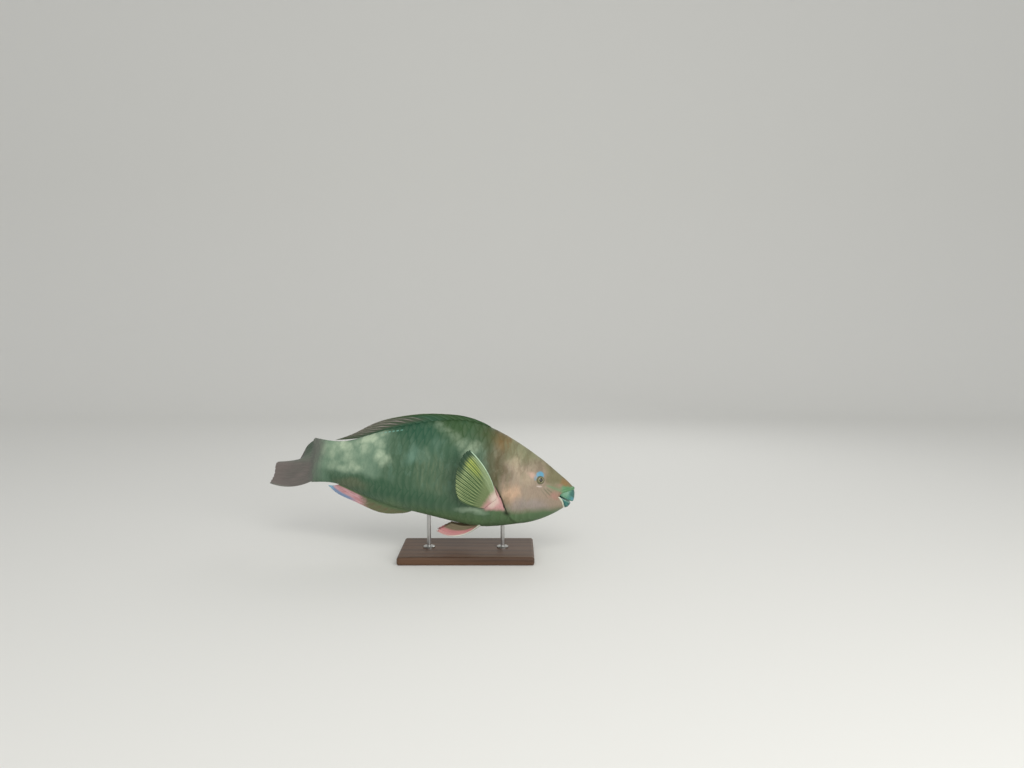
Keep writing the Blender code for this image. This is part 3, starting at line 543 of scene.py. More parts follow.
class Shader:
    """A material whose nodes are added by method calls."""

    def __init__(self, name, **constants):
        self.material = bpy.data.materials.new(name)
        self.material.use_nodes = True
        self.tree = self.material.node_tree
        self.principled = self.tree.nodes["Principled BSDF"]
        for socket, value in constants.items():
            self.principled.inputs[socket.replace("_", " ")].default_value = value

    def node(self, kind, settings=None, inputs=None, output=0):
        """Adds a node: its settings first, then the values or links of its sockets."""
        made = self.tree.nodes.new(kind)
        for key, value in (settings or {}).items():
            setattr(made, key, value)
        for key, value in (inputs or {}).items():
            self.feed(made.inputs[key], value)
        return Socket(self, made.outputs[output])

    def feed(self, socket, value):
        if isinstance(value, Socket):
            self.tree.links.new(value.socket, socket)
        elif hasattr(value, "__len__"):
            value = tuple(value)
            socket.default_value = (*value, 1) if socket.type == "RGBA" and len(value) == 3 else value
        else:
            socket.default_value = value

    def attribute(self, name):
        return self.node("ShaderNodeAttribute", {"attribute_name": name}, output="Vector")

    def split(self, vector):
        """The three parts of a vector."""
        made = self.node("ShaderNodeSeparateXYZ", None, {0: vector}).socket.node
        return [Socket(self, output) for output in made.outputs]

    def join(self, x, y, z=0.0):
        return self.node("ShaderNodeCombineXYZ", None, {0: x, 1: y, 2: z})

    def vector(self, operation, a, b):
        return self.node("ShaderNodeVectorMath", {"operation": operation}, {0: a, 1: b})

    def blend(self, a, b, share, kind="MIX"):
        """Colour a with colour b over it."""
        settings = {"data_type": "RGBA", "blend_type": kind}
        return self.node("ShaderNodeMix", settings, {0: share, 6: a, 7: b}, output=2)

    def step(self, value, low, high):
        """Rises smoothly from 0 at low to 1 at high, or falls where low is above high."""
        settings = {"interpolation_type": "SMOOTHSTEP"}
        return self.node("ShaderNodeMapRange", settings, {0: value, 1: low, 2: high})

    def steps(self, *limits):
        """The product of steps, each given as (value, low, high)."""
        found = self.step(*limits[0])
        for limit in limits[1:]:
            found = found * self.step(*limit)
        return found

    def noise(self, vector, scale, detail=3.0, rough=0.55, output=0):
        inputs = {"Vector": vector, "Scale": scale, "Detail": detail, "Roughness": rough}
        return self.node("ShaderNodeTexNoise", None, inputs, output)

    def stretched(self, vector, scale):
        return self.vector("MULTIPLY", vector, scale)

    def spot(self, at, centre, reach, soft):
        """A soft-edged ellipse in body coordinates, from a point's (s, h)."""
        off = self.vector("SUBTRACT", at, (centre[0], 0, centre[1]))
        off = self.vector("MULTIPLY", off, (1 / reach[0], 0, 1 / reach[1]))
        distance = self.node("ShaderNodeVectorMath", {"operation": "LENGTH"}, {0: off}, output="Value")
        return self.step(distance, 1 + soft, 1 - soft)

    def bump(self, height, strength, distance):
        inputs = {"Strength": strength, "Distance": distance, "Height": height}
        return self.node("ShaderNodeBump", None, inputs)

    def finish(self, **links):
        for socket, value in links.items():
            self.feed(self.principled.inputs[socket.replace("_", " ")], value)
        return self.material


# Markings of the fish, with painted shade and shadow among them, shared by skin and scales. A layer is
# (colour, strength, *terms). A term is a field of field_values() with the limits between which it sets in, or
# a field alone, or a soft-edged ellipse as (s, h, reach along, reach up, softness), whose outline wanders as
# a "spot" and stays put as a "mark".
FLANK_LAYERS = (
    ("flank_brown", 0.8, ("spot", 322, 10, 36, 50, 0.6), ("streak",)),
    ("flank_deep", 0.8, ("spot", 282, 66, 30, 26, 0.6)),
    ("flank_deep", 0.95, ("spot", 440, -42, 150, 18, 0.5)),
    ("flank_deep", 0.55, ("spot", 372, 0, 26, 60, 0.7)),
    ("back", 1.0, ("spot", 262, 120, 84, 36, 0.5)),
    ("back", 0.5, ("spot", 226, 92, 26, 20, 0.7)),
    ("saddle", 0.9, ("spot", 352, 88, 48, 28, 0.6)),
    ("saddle", 1.0, ("spot", 372, 104, 50, 22, 0.5)),
    ("patch", 0.9, ("spot", 366, 46, 12, 20, 0.7)),
    ("patch", 0.25, ("spot", 315, 74, 10, 15, 0.7)),
    ("patch", 0.25, ("spot", 345, 50, 16, 18, 0.8)),
    ("flank_deep", 0.35, ("cloud", 0.6, 0.0)),
    ("patch", 0.28, ("cloud", 0.55, 1.0), ("height", -40, 0), ("height", 95, 70)),
    ("stalk", 1.0, ("along", 405, 455), ("height", -30, -8), ("height", 100, 78)),
    ("stalk", 0.7, ("along", 545, 585), ("height", -66, -40)),
    ("rear_low", 0.9, ("spot", 505, -44, 38, 13, 0.6)),
    ("belly", 1.0, ("height", -56, -84), ("along", 480, 400)),
    # pale patches: partly the fish's own blotches and partly painted caustic light
    ("mottle", 1.0, ("pale",)),
    ("mottle", 0.22, ("mottle",), ("along", 425, 480), ("height", -30, 0)),
    ("caudal", 1.0, ("tail_root", 572, 614)),
)
NAPE_LAYERS = (
    ("nape_dark", 1.0, ("along", 172, 216), ("height", 50, 100)),
    ("nape_edge", 0.9, ("spot", 158, 104, 36, 18, 0.7)),
    ("nape_dark", 0.55, ("cloud", 0.55, 0.0), ("along", 150, 185)),
    ("head_light", 0.22, ("cloud", 0.6, 1.0), ("height", 110, 70)),
)
NAPE_REACH = (("nape_border", 238, 166), ("height", -46, -26))
HEAD_LAYERS = (
    ("head_top", 1.0, ("height", 44, 78)),
    ("head_light", 0.55, ("spot", 138, 60, 13, 20, 0.8)),
    ("head_light", 0.5, ("spot", 116, 32, 20, 18, 0.8)),
    ("cheek", 1.0, ("spot", 141, -12, 15, 22, 0.7)),
    ("cheek_low", 0.8, ("spot", 100, -34, 46, 14, 0.6)),
    ("snout", 1.0, ("along", 84, 52), ("height", -14, 14)),
    ("snout_dark", 0.85, ("spot", 57, 31, 14, 8, 0.7)),
    ("snout_rust", 0.8, ("spot", 26, 26, 13, 9, 0.7)),
    ("mouth_rose", 0.45, ("spot", 40, 19, 8, 4, 0.7)),
    ("mouth_rose", 0.8, ("spot", 46, -7, 13, 8, 0.8)),
    ("nape", 0.4, ("cloud", 0.5, 0.0), ("height", 10, 50)),
)
HEAD_REACH = (("head_border", 172, 136),)
# Over all of it: throat, skin round the pectoral fin's base, painted shadow under the pectoral fin, painted
# shade in the gill opening, lips and eyelids
FRONT_LAYERS = (
    ("throat", 1.0, ("under", -16, -36), ("along", 205, 165)),
    ("pale_under", 0.95, ("spot", 220, -59, 25, 7, 0.8)),
    # painted shadow: a dark line on the body under the pectoral fin
    ("streak_and_shadow", 0.6, ("fin_shadow", 4.5, 1.0), ("s", 184, 198), ("s", 262, 246)),
    ("base_rose", 0.9, ("rose",)),
    ("base_white", 1.0, ("spot", 182, -30, 13, 10, 0.6), ("rose",)),
    # painted shade along the gill opening, with a dark blot of painted shade at its foot
    ("recess_shade", 0.7, ("opening",)),
    ("nape", 0.16, ("fine", 0.62, 0.3), ("s", 200, 160)),
    ("lip", 1.0, ("s", 36, 26), ("h", 1, 6), ("height", 23, 14)),
    ("lip", 0.5, ("lip_line", 3.6, 0.8), ("s", 28, 36), ("s", 72, 58)),
)
FACE_LAYERS = (
    ("lip_white", 0.9, ("crescent", 2.8, 1.7), ("h", -4.5, -7), ("h", -34, -31)),
    ("peach", 0.75, ("spot", 102, 42, 8, 6, 0.7)),
    ("lid_blue", 1.0, ("blue",)),
    ("lid_pale", 0.8, ("mark", 82, 13.5, 6, 1.8, 0.4)),
    ("dots", 0.9, ("dots",), ("s", 392, 398), ("s", 458, 440)),
)
# Pale patches of the flank and tail stalk, partly the fish's own pale blotches and partly painted caustic
# light, as (s, h, reach along, reach up, strength)
PALE_BLOTCHES_AND_CAUSTICS = (
    (246, 62, 13, 16, 0.36), (236, 78, 12, 8, 0.4), (262, 84, 16, 9, 0.28), (285, 97, 14, 9, 0.18),
    (302, 111, 14, 6, 0.16), (320, 116, 9, 5, 0.2), (335, 62, 9, 10, 0.12),
    (424, 26, 11, 13, 0.5), (439, 36, 9, 11, 0.75), (446, 58, 12, 11, 0.6), (462, 68, 13, 10, 0.95),
    (450, 84, 12, 7, 0.55), (478, 71, 17, 13, 1.1), (476, 42, 14, 14, 0.5), (497, -2, 18, 12, 0.6),
    (514, 24, 18, 12, 0.5), (531, 39, 22, 14, 1.1), (522, -8, 18, 9, 0.5), (556, 28, 20, 14, 0.4),
    (584, 28, 18, 14, 0.35), (546, -4, 16, 12, 0.2), (500, 52, 12, 8, 0.45),
)
PALE_SOFTNESS = 0.75
# Fine dark lines below the eye and one behind the gill opening, as two (s, h) ends, half width and strength
HEAD_LINES = (
    ((72, 10), (54, -5), 2.0, 0.5), ((66, 11), (50, 1), 1.8, 0.4), ((78, 8), (60, -10), 1.8, 0.25),
    ((179, -2), (169, -20), 1.7, 0.85),
)
# Straight lines that markings and painted shade follow, as two ends in (s, h), or in (h, s) for the gill
# opening
FIN_SHADOW_LINE = ((255, -37), (192, -53))
FIN_SHADOW_BOW = (224, -0.006)  # middle and bend of the shadow under the pectoral fin
OPENING_LINE = ((-47, 148.5), (4, 178))
OPENING_BOW = (-22, 26, 2)  # level of the opening's bow, its reach and its depth
LIP_LINE = ((66, 17), (32, 8))
LIP_CRESCENT = ((18.5, -31), (36, -5), 1.6)  # ends of the lower lip's white crescent, and how it bends
DOT_LINE = ((400, 94.5), (438, 83.7))
DOT_SPACING = 9.2
WANDER = 40  # how far the outlines of spots wander


def mix_line(s, first, last):
    """Value at a socket s of a straight line through two points."""
    rise = (last[1] - first[1]) / (last[0] - first[0])
    return (s - first[0]) * rise + first[1]


def field_values(shader, at):
    """Everything that a layer's terms may name, at a point in body coordinates."""
    s, _, h = shader.split(at)
    drift = shader.vector("SUBTRACT", shader.noise(at, 0.022, 3, output="Color"), (0.5, 0.5, 0.5))
    moved = shader.vector("ADD", at, shader.vector("MULTIPLY", drift, (WANDER, 0, WANDER)))
    ms, _, mh = shader.split(moved)
    mottle = shader.step(shader.noise(shader.stretched(at, (1.0, 0.6, 0.7)), 0.07, 4, 0.6), 0.36, 0.68)
    streak = shader.step(shader.noise(shader.stretched(at, (1.0, 0.3, 0.16)), 0.2, 3, 0.5), 0.35, 0.68)
    cloud = shader.step(shader.noise(shader.stretched(at, (1.0, 0.5, 0.45)), 0.045, 4, 0.65), 0.34, 0.66)
    fine = shader.noise(shader.stretched(at, (1.0, 0.4, 0.25)), 0.5, 2)

    pale = None
    for s0, h0, along, up, strength in PALE_BLOTCHES_AND_CAUSTICS:
        patch = shader.spot(moved, (s0, h0), (along, up), PALE_SOFTNESS) * strength
        pale = patch if pale is None else pale.greater(patch)

    middle, bow = FIN_SHADOW_BOW
    # distance from the line of the painted shadow under the pectoral fin
    fin_shadow = abs(h - mix_line(s, *FIN_SHADOW_LINE) + (s - middle) * (s - middle) * bow)
    level, reach, depth = OPENING_BOW
    opening = mix_line(h, *OPENING_LINE) - shader.step(abs(h - level), reach, 0) * depth
    rose = shader.steps((s - opening, 0, 4), (h, 8, -4), (mh + s * 0.1, -38, -22), (s, 206, 190))
    # painted shade along the gill opening
    opening_shade = shader.steps((abs(s - opening), 2.6, 0.9), (h, 8, 0), (h, -60, -50))
    (low_s, low_h), (high_s, high_h), bend = LIP_CRESCENT
    crescent = ((h - low_h) * (1 / (high_h - low_h))).greater(0.0) ** bend * (high_s - low_s) + low_s
    blue = shader.spot(at, (83.5, 38), (8.5, 7.0), 0.3).greater(shader.spot(at, (93, 31), (3, 5), 0.6) * 0.5)
    beside = abs((s / DOT_SPACING).fraction() - 0.5)
    dots = shader.steps((beside, 0.4, 0.15), (abs(h - mix_line(s, *DOT_LINE)), 1.9, 0.7))
    return {
        "at": at, "s": s, "h": h, "moved": moved, "along": ms, "height": mh,
        "mottle": mottle, "streak": streak, "cloud": cloud, "fine": fine,
        "pale": pale * (mottle * 0.7 + 0.65),
        "tail_root": ms + mh * 0.1,
        "nape_border": ms - mh * 0.1 + (cloud - 0.5) * 16,
        "head_border": ms - mh * 0.05 + (cloud - 0.5) * 18,
        "under": h + s.less(112) * 0.2 + (mh - h) * 0.35,
        "fin_shadow": fin_shadow,
        "rose": rose,
        "opening": opening_shade.greater(shader.spot(at, (146, -55), (7, 5), 0.8)),
        "lip_line": abs(h - mix_line(s, *LIP_LINE)),
        "crescent": abs(s - crescent),
        "blue": blue * (shader.step(fine, 0.35, 0.55) * 0.25 + 0.72),
        "dots": dots * (mottle * 0.6 + 0.4),
    }


def cover(shader, fields, terms):
    """The product of a layer's terms."""
    found = None
    for kind, *numbers in terms:
        if kind in ("spot", "mark"):
            s, h, along, up, soft = numbers
            part = shader.spot(fields["moved" if kind == "spot" else "at"], (s, h), (along, up), soft)
        else:
            part = shader.step(fields[kind], *numbers) if numbers else fields[kind]
        found = part if found is None else found * part
    return found


def layered(shader, body, fields, colours, layers):
    """A colour with layers laid over it in their order."""
    for name, strength, *terms in layers:
        body = shader.blend(body, getattr(colours, name), cover(shader, fields, terms) * strength)
    return body


def markings(shader, at, colours):
    """Colour of the body at a point in body coordinates."""
    fields = field_values(shader, at)
    s, h = fields["s"], fields["h"]
    body = layered(shader, colours.flank, fields, colours, FLANK_LAYERS)
    nape = layered(shader, colours.nape, fields, colours, NAPE_LAYERS)
    body = shader.blend(body, nape, cover(shader, fields, NAPE_REACH))
    head = layered(shader, colours.head, fields, colours, HEAD_LAYERS)
    body = shader.blend(body, head, cover(shader, fields, HEAD_REACH))
    body = layered(shader, body, fields, colours, FRONT_LAYERS)
    for first, last, wide, strength in HEAD_LINES:
        off = abs(h - mix_line(s, first, last))
        line = shader.steps(
            (off, wide * 1.5, wide * 0.3), (s, last[0] - 3, last[0] + 4), (s, first[0] + 2, first[0] - 4)
        )
        body = shader.blend(body, colours.streak_and_shadow, line * strength)
    return layered(shader, body, fields, colours, FACE_LAYERS)


def skin_material(colours):
    shader = Shader("fish skin", Specular_IOR_Level=0.25)
    at = shader.attribute("body")
    _, recess_shade, wet = shader.split(shader.attribute("detail"))
    # painted shade inside the gill slit, the mouth's lining and the nostrils
    body = shader.blend(markings(shader, at, colours), colours.recess_shade, recess_shade)
    grain = shader.noise(at, 0.9, 4, 0.6)
    pores = shader.noise(at, 2.6, 2, 0.5)
    normal = shader.bump(grain * 0.7 + pores * 0.3, 0.35, 0.0004)
    tone = shader.step(grain, 0.3, 0.7) * 0.1
    body = shader.blend(body, (0.0, 0.0, 0.0), tone)
    rough = 0.5 - wet * 0.24 + grain * 0.06
    return shader.finish(Base_Color=body, Roughness=rough, Normal=normal)


def scale_material(colours):
    shader = Shader("fish scales", Specular_IOR_Level=0.22)
    at = shader.attribute("body")
    chance, across, along = shader.split(shader.attribute("detail"))
    body = markings(shader, at, colours)
    rings = (along * 34 + abs(across) * abs(across) * -9).wave()
    fan = (across * 15 / (along * 0.6 + 0.5)).wave()
    edge = shader.step(along, 0.86, 0.985)
    body = shader.blend(body, (0.0, 0.0, 0.0), edge * 0.04 + chance * 0.06)
    centre = shader.step(along, 0.5, 0.78) * shader.step(along, 0.98, 0.82)
    # painted sheen: a pale highlight over the middle of each scale
    body = shader.blend(body, colours.sheen, centre * (0.04 + chance * 0.05))
    normal = shader.bump(rings * 0.4 + fan * 0.35 + shader.noise(at, 1.2, 3) * 0.7, 0.3, 0.00025)
    rough = 0.46 + edge * 0.1 + chance * 0.08
    return shader.finish(Base_Color=body, Roughness=rough, Normal=normal)


class FishColours(bpy.types.PropertyGroup):
    """Colours of the fish's skin and scales."""

    head: colour("Head", "Cheek and side of the head", 154, 138, 121)
    head_top: colour("Head top", "Green-brown towards the ridge of the head", 132, 132, 102)
    head_light: colour("Pale head", "Palest parts behind the eye", 180, 164, 138)
    cheek: colour("Cheek patch", "Bright patch in front of the gill opening", 197, 165, 139)
    cheek_low: colour("Lower cheek", "Lavender tone low on the cheek", 152, 142, 136)
    snout: colour("Snout", "Dull brown of the snout", 124, 120, 90)
    snout_rust: colour("Snout rust", "Rust-brown on the snout's ridge", 142, 112, 72)
    snout_dark: colour("Dark snout", "Olive-brown patch on the snout", 112, 108, 78)
    lip_white: colour("Lower lip", "White crescent of the lower lip", 208, 214, 194)
    mouth_rose: colour("Mouth rose", "Skin round the corner of the mouth", 162, 122, 108)
    peach: colour("Peach patch", "Small patch behind the eye", 200, 166, 150)
    throat: colour("Throat", "Green underside of the head", 87, 114, 80)
    pale_under: colour("Pale band", "Pale band under the pectoral fin", 150, 172, 146)
    nape: colour("Nape", "Brown band behind the head", 95, 86, 61)
    nape_dark: colour("Dark nape", "Olive-brown towards the back", 68, 73, 41)
    nape_edge: colour("Nape edge", "Orange-brown along the nape's ridge", 117, 95, 58)
    back: colour("Back", "Dark olive back", 53, 82, 47)
    saddle: colour("Saddle", "Dark blue-green saddle", 43, 84, 62)
    flank: colour("Flank", "Side of the body", 75, 102, 79)
    flank_deep: colour("Deep flank", "Darkest blue-green of the side", 58, 92, 68)
    flank_brown: colour("Flank streaks", "Brown streaks on the side", 96, 114, 88)
    patch: colour("Blue-grey patch", "Blue-grey patches of the flank", 100, 134, 116)
    belly: colour("Belly", "Green of the belly", 92, 118, 82)
    stalk: colour("Tail stalk", "Pale green of the tail stalk", 108, 136, 114)
    rear_low: colour("Lower tail stalk", "Brown-pink below the tail stalk", 94, 104, 80)
    # Partly the fish's own pale blotches and partly painted caustic light
    mottle: colour("Mottling", "Pale mint of the mottled patches", 178, 196, 168)
    caudal: colour("Tail root", "Mauve-grey at the root of the tail fin", 102, 106, 98)
    base_rose: colour("Fin base rose", "Pink skin round the pectoral fin's base", 212, 160, 160)
    base_white: colour("Fin base white", "White middle of the pectoral fin's base", 222, 196, 186)
    lip: colour("Upper lip", "Green of the upper lip", 94, 138, 98)
    # Real dark streaks on the head, and the painted shadow under the pectoral fin
    streak_and_shadow: colour("Dark line", "Streaks in front of the mouth's corner", 84, 90, 66)
    lid_blue: colour("Blue lid", "Blue patch over the eye", 92, 160, 190)
    lid_pale: colour("Pale lid", "Pale arc under the eye", 206, 192, 182)
    dots: colour("Dots", "Row of spots under the dorsal fin", 126, 182, 166)
    # Painted shade inside the gill slit, the mouth's lining and the nostrils
    recess_shade: colour("Slit", "Dark inside of the gill opening", 22, 26, 18)
    # Painted sheen: the pale highlight in the middle of each scale
    sheen: colour("Scale sheen", "Pale bloom on each scale", 150, 168, 142)


class FinColours(bpy.types.PropertyGroup):
    """Colours of the fins."""

    pectoral_ray: colour("Pectoral rays", "Pale yellow-green rays", 164, 178, 126)
    pectoral_yellow: colour("Pectoral yellow", "Bright yellow-green front rays", 172, 184, 84)
    pectoral_lead: colour("Pectoral leading edge", "Pale grey-green front of the fin", 150, 168, 128)
    pectoral_web: colour("Pectoral web", "Green web between the rays", 68, 94, 54)
    pectoral_plain: colour("Pectoral inner web", "Olive inner part of the fin", 114, 130, 88)
    pectoral_dark: colour("Pectoral tip", "Dark rear of the fin", 38, 66, 44)
    pectoral_rose: colour("Pectoral rose", "Pink skin at the fin's base", 206, 158, 156)
    pectoral_base: colour("Pectoral base", "White front of the fin's base", 224, 206, 192)
    pectoral_edge: colour("Pectoral edge", "Bright line along the leading edge", 196, 224, 196)
    dorsal_rose: colour("Dorsal streaks", "Mauve streaks of the dorsal fin's rear", 144, 134, 130)
    dorsal_dark: colour("Dorsal web", "Dark web between the streaks", 72, 80, 62)
    dorsal_edge: colour("Dorsal edge", "Brown edge of the dorsal fin", 84, 92, 62)
    anal_rose: colour("Anal rose", "Pink rear of the anal fin", 200, 158, 162)
    anal_streak: colour("Anal streaks", "Deeper pink streaks", 178, 122, 124)
    anal_blue: colour("Anal margin", "Lavender-blue margin of the anal fin", 112, 140, 172)
    anal_tip: colour("Anal tip", "Pale blue tip of the anal fin", 130, 178, 200)
    anal_brown: colour("Anal front", "Brown front of the anal fin", 104, 98, 72)
    caudal_rose: colour("Tail fin", "Mauve-grey of the tail fin", 122, 112, 108)
    caudal_dark: colour("Tail fin web", "Darker tone of the tail fin", 98, 98, 92)
    # Painted shade: the turned upper half of the tail fin is coloured darker and greener
    caudal_upper_shade: colour("Upper tail fin", "Green-grey of the turned upper half", 72, 94, 76)
    caudal_edge: colour("Tail fin edge", "Pale edge of the tail fin", 128, 134, 124)
    pelvic_rose: colour("Pelvic rose", "Salmon pink of the pelvic fins", 190, 128, 128)
    pelvic_lead: colour("Pelvic edge", "Pale leading edge of the pelvic fins", 214, 220, 204)
    # Painted shade over the pelvic fins' inner rays and root
    pelvic_shade: colour("Pelvic dark", "Dark inner part of the pelvic fins", 116, 106, 82)


class BeakColours(bpy.types.PropertyGroup):
    """Colours of the beak and eyes."""

    upper: colour("Upper plate", "Blue-green of the upper plate", 64, 128, 112)
    upper_front: colour("Plate front", "Brighter blue front of the upper plate", 66, 136, 148)
    lower: colour("Lower plate", "Dark blue-green of the lower plate", 26, 84, 80)
    lower_light: colour("Lower plate light", "Lighter parts of the lower plate", 44, 116, 108)
    bite: colour("Bite", "Pale cyan edge along the bite", 164, 198, 184)
    lip_green: colour("Plate green", "Green rear of the upper plate", 98, 148, 116)
    iris: colour("Iris", "Olive-brown of the iris", 104, 98, 60)
    # Painted highlight: pale crescents on two sides of the pupil
    iris_highlight: colour("Iris crescent", "Pale inner ring of the iris", 176, 172, 146)
    sclera: colour("Eyeball", "Grey-green rim of the eyeball", 104, 106, 84)
    pupil: colour("Pupil", "Dark olive of the pupil", 40, 36, 20)


class StandColours(bpy.types.PropertyGroup):
    """Colours of the stand."""

    wood: colour("Wood", "Dark wood of the base", 92, 66, 46)
    wood_grain: colour("Wood grain", "Darker grain of the wood", 54, 36, 25)
    steel: colour("Steel", "Brushed steel of the rods", 188, 188, 186)


class CoatSettings(bpy.types.PropertyGroup):
    """Sizes of the scales, in millimetres."""

    length: bpy.props.FloatProperty(
        name="Scale spacing", description="Length shown of a shoulder scale, in mm", default=19.0, min=5
    )
    rear_length: bpy.props.FloatProperty(
        name="Rear spacing", description="Shown length of a scale at the tail, in mm", default=13.0, min=4
    )
    rows: bpy.props.IntProperty(
        name="Rows", description="Rows of scales from back to belly on each side", default=11, min=5
    )
    overlap: bpy.props.FloatProperty(
        name="Overlap", description="Whole length of a scale, in shown lengths", default=1.6, min=1.1
    )
    lift: bpy.props.FloatProperty(
        name="Lift", description="Height of a scale's free edge over the skin, in mm", default=0.38, min=0.1
    )


class StageSettings(bpy.types.PropertyGroup):
    """Floor and light."""

    floor: colour("Floor", "Colour of the floor and backdrop", 226, 226, 222)
    key: bpy.props.FloatProperty(
        name="Key light", description="Strength of the large light above", default=30.0, min=0, unit="POWER"
    )
    fill: bpy.props.FloatProperty(
        name="Fill light", description="Strength of the light to the right", default=26.0, min=0, unit="POWER"
    )
    rim: bpy.props.FloatProperty(
        name="Rim light", description="Strength of the light behind", default=6.0, min=0, unit="POWER"
    )
    sky: bpy.props.FloatProperty(
        name="Sky", description="Strength of the light from all round", default=0.6, min=0, unit="NONE"
    )


# Skin

COLUMNS = 272
COLUMN_FOCUS = (24.0, 26.0, 1.6)  # angle of finer columns at the eye, their reach and how much finer
FINE_TURNS = 2881  # places at which the spacing of the columns is worked out
HEAD_ROWS = 104
TRUNK_ROWS = 190
HEAD_FOCUS = 0.8  # below 1 sets the head's rows closer at the mouth
LINING_ROWS = 5
LIP_STEPS, LIP_AROUND = 56, 16  # rings along half of a lip, and points round each
LIP_TAPER_REACH = 0.4  # share of half a lip over which it thins at its ends
LID_AROUND, NOSTRIL_AROUND = 72, 24
MAP_EDGE, MAP_STEP, MAP_CELL = 0.91, 0.1, 0.08  # places on the map of lips, lids and nostrils
SOCKET_REACH = (13.0, 18.0)
SOCKET_DEPTH = 2.6


def skin_turns():
    """Turns round the section, closer together at the level of the eyes."""
    turns = np.linspace(-90, 270, FINE_TURNS)
    focus, reach, more = COLUMN_FOCUS
    weight = 1 + more * np.exp(-(((elevation(turns) - focus) / reach) ** 2))
    total = np.concatenate(([0], np.cumsum((weight[1:] + weight[:-1]) / 2)))
    return np.interp(np.linspace(0, total[-1], COLUMNS + 1)[:-1], total, turns)


def mouth_start(angle):
    """The station at which the skin starts, along the lips."""
    outline = [*reversed(LOWER_LIP), *UPPER_LIP[1:]]
    angles = [float(elevation(turn_at(s, h, 1))) for s, h in outline]
    angles[0], angles[-1] = -90.0, 90.0
    return np.interp(angle, angles, [s for s, _ in outline])


def make_skin(settings):
    """One skin over head, trunk and tail stalk, with lips, lids and nostrils."""
    surface = Surface("body", "detail")
    turns = skin_turns()
    angle = elevation(turns)
    start, gill = mouth_start(angle), gill_station(angle)
    fold = np.array(COVER_FOLD)
    open_here = covered(angle)
    rows, lifts, recess_shade = [], [], []
    for share in np.linspace(0, 1, HEAD_ROWS) ** (1 / HEAD_FOCUS):
        rows.append(mix(start, gill + fold[0, 0], share))
        lifts.append(relief(rows[-1], turns))
        recess_shade.append(np.zeros(len(turns)))
    flat = np.linspace(fold[0, 0], fold[-1, 0], len(fold))
    for i, (along, lift) in enumerate(COVER_FOLD[1:-1], 1):
        rows.append(gill + mix(flat[i], along, open_here))
        bed = relief(rows[-1], turns) - COVER_LIFT * open_here * (rows[-1] <= gill + COVER_EDGE)
        lifts.append(mix(bed, lift - BARE_DEPTH, open_here))
        # rows that lie in the slit are marked for painted shade
        recess_shade.append(open_here * float(SLIT_ROWS[0] <= i < SLIT_ROWS[1]))
    for share in np.linspace(0, 1, TRUNK_ROWS):
        rows.append(mix(gill + fold[-1, 0], STANDARD_LENGTH - 1.0, share))
        lifts.append(relief(rows[-1], turns))
        recess_shade.append(np.zeros(len(turns)))
    s, lift = np.array(rows), np.array(lifts)
    points = lifted(s, turns[None], lift - socket_depth(s, turns))
    head_ring, tail_ring = points[0], points[-1]
    lining = closing_rows(head_ring, place(42, 0, -8), LINING_ROWS)[::-1]
    cap = closing_rows(tail_ring, place(STANDARD_LENGTH + 1, 0, wide_level(STANDARD_LENGTH)), 3)
    points = np.concatenate((lining, points, cap))
    y, h = section(s, turns[None])
    body = np.stack(np.broadcast_arrays(s, y, h), axis=-1)
    body = np.concatenate(([body[0]] * len(lining), body, [body[-1]] * len(cap)))
    detail = np.zeros_like(body)
    detail[len(lining) : len(lining) + len(s), :, 1] = np.array(recess_shade)
    # the mouth's lining is coloured with painted shade
    detail[: len(lining), :, 1] = 1.0
    wet = np.concatenate((np.ones(len(lining)), bump(s.mean(1) - 20, 60), np.zeros(len(cap))))
    detail[..., 2] = wet[:, None]
    uv = plain_map(len(points), len(turns) + 1, (0, 0), (MAP_EDGE - 0.01, 1))
    surface.grid(points, uv, wrap=True, flip=True, body=body, detail=detail)
    corner = 0.0
    for outline, size in ((UPPER_LIP, UPPER_LIP_SIZE), (LOWER_LIP, LOWER_LIP_SIZE)):
        add_lip(surface, outline, size, (MAP_EDGE, corner))
        corner += MAP_STEP
    for side, _ in SIDES:
        add_ring(surface, EYE_AT, side, LID_PROFILE, 1.0, LID_AROUND, (MAP_EDGE, corner), 0.0)
        corner += MAP_STEP
        for s0, h0, radius in NOSTRILS:
            ring = (NOSTRIL_PROFILE, radius, NOSTRIL_AROUND)
            add_ring(surface, (s0, h0), side, *ring, (MAP_EDGE, corner), 1.0)
            corner += MAP_STEP
    under = ("head", "trunk", "tail_stalk", "gill_cover_left", "gill_cover_right")
    return surface.piece("skin", skin_material(settings), "skin", *under)


def socket_depth(s, turns):
    """How far the skin lies back under the eyelids."""
    depth = 0.0
    points = skin_point(s, turns[None]) / MM
    for side, _ in SIDES:
        middle = eye_frame(side)[0] / MM
        distance = np.linalg.norm(points - middle, axis=-1)
        depth = depth + SOCKET_DEPTH * (1 - smoothstep(distance, *SOCKET_REACH))
    return depth


def patch_points(centre, side, radius, spin, lift):
    """Points at a radius and an angle round a point of the skin, as (s, turn) and lifted."""
    s0, turn0 = centre[0], turn_at(*centre, side)
    along = (skin_point(s0 + NEAR, turn0) - skin_point(s0 - NEAR, turn0)) / (2 * NEAR * MM)
    across = (skin_point(s0, turn0 + NEAR) - skin_point(s0, turn0 - NEAR)) / (2 * NEAR * MM)
    first = unit(along)
    second = np.cross(skin_normal(s0, turn0), first)
    lengths = np.linalg.pinv(np.stack([along, across], axis=-1))
    offsets = radius[..., None] * (
        np.cos(spin)[..., None] * (lengths @ first) + np.sin(spin)[..., None] * (lengths @ second)
    )
    s, turn = s0 + offsets[..., 0], turn0 + offsets[..., 1]
    return s, turn, lifted(s, turn, lift + relief(s, turn))


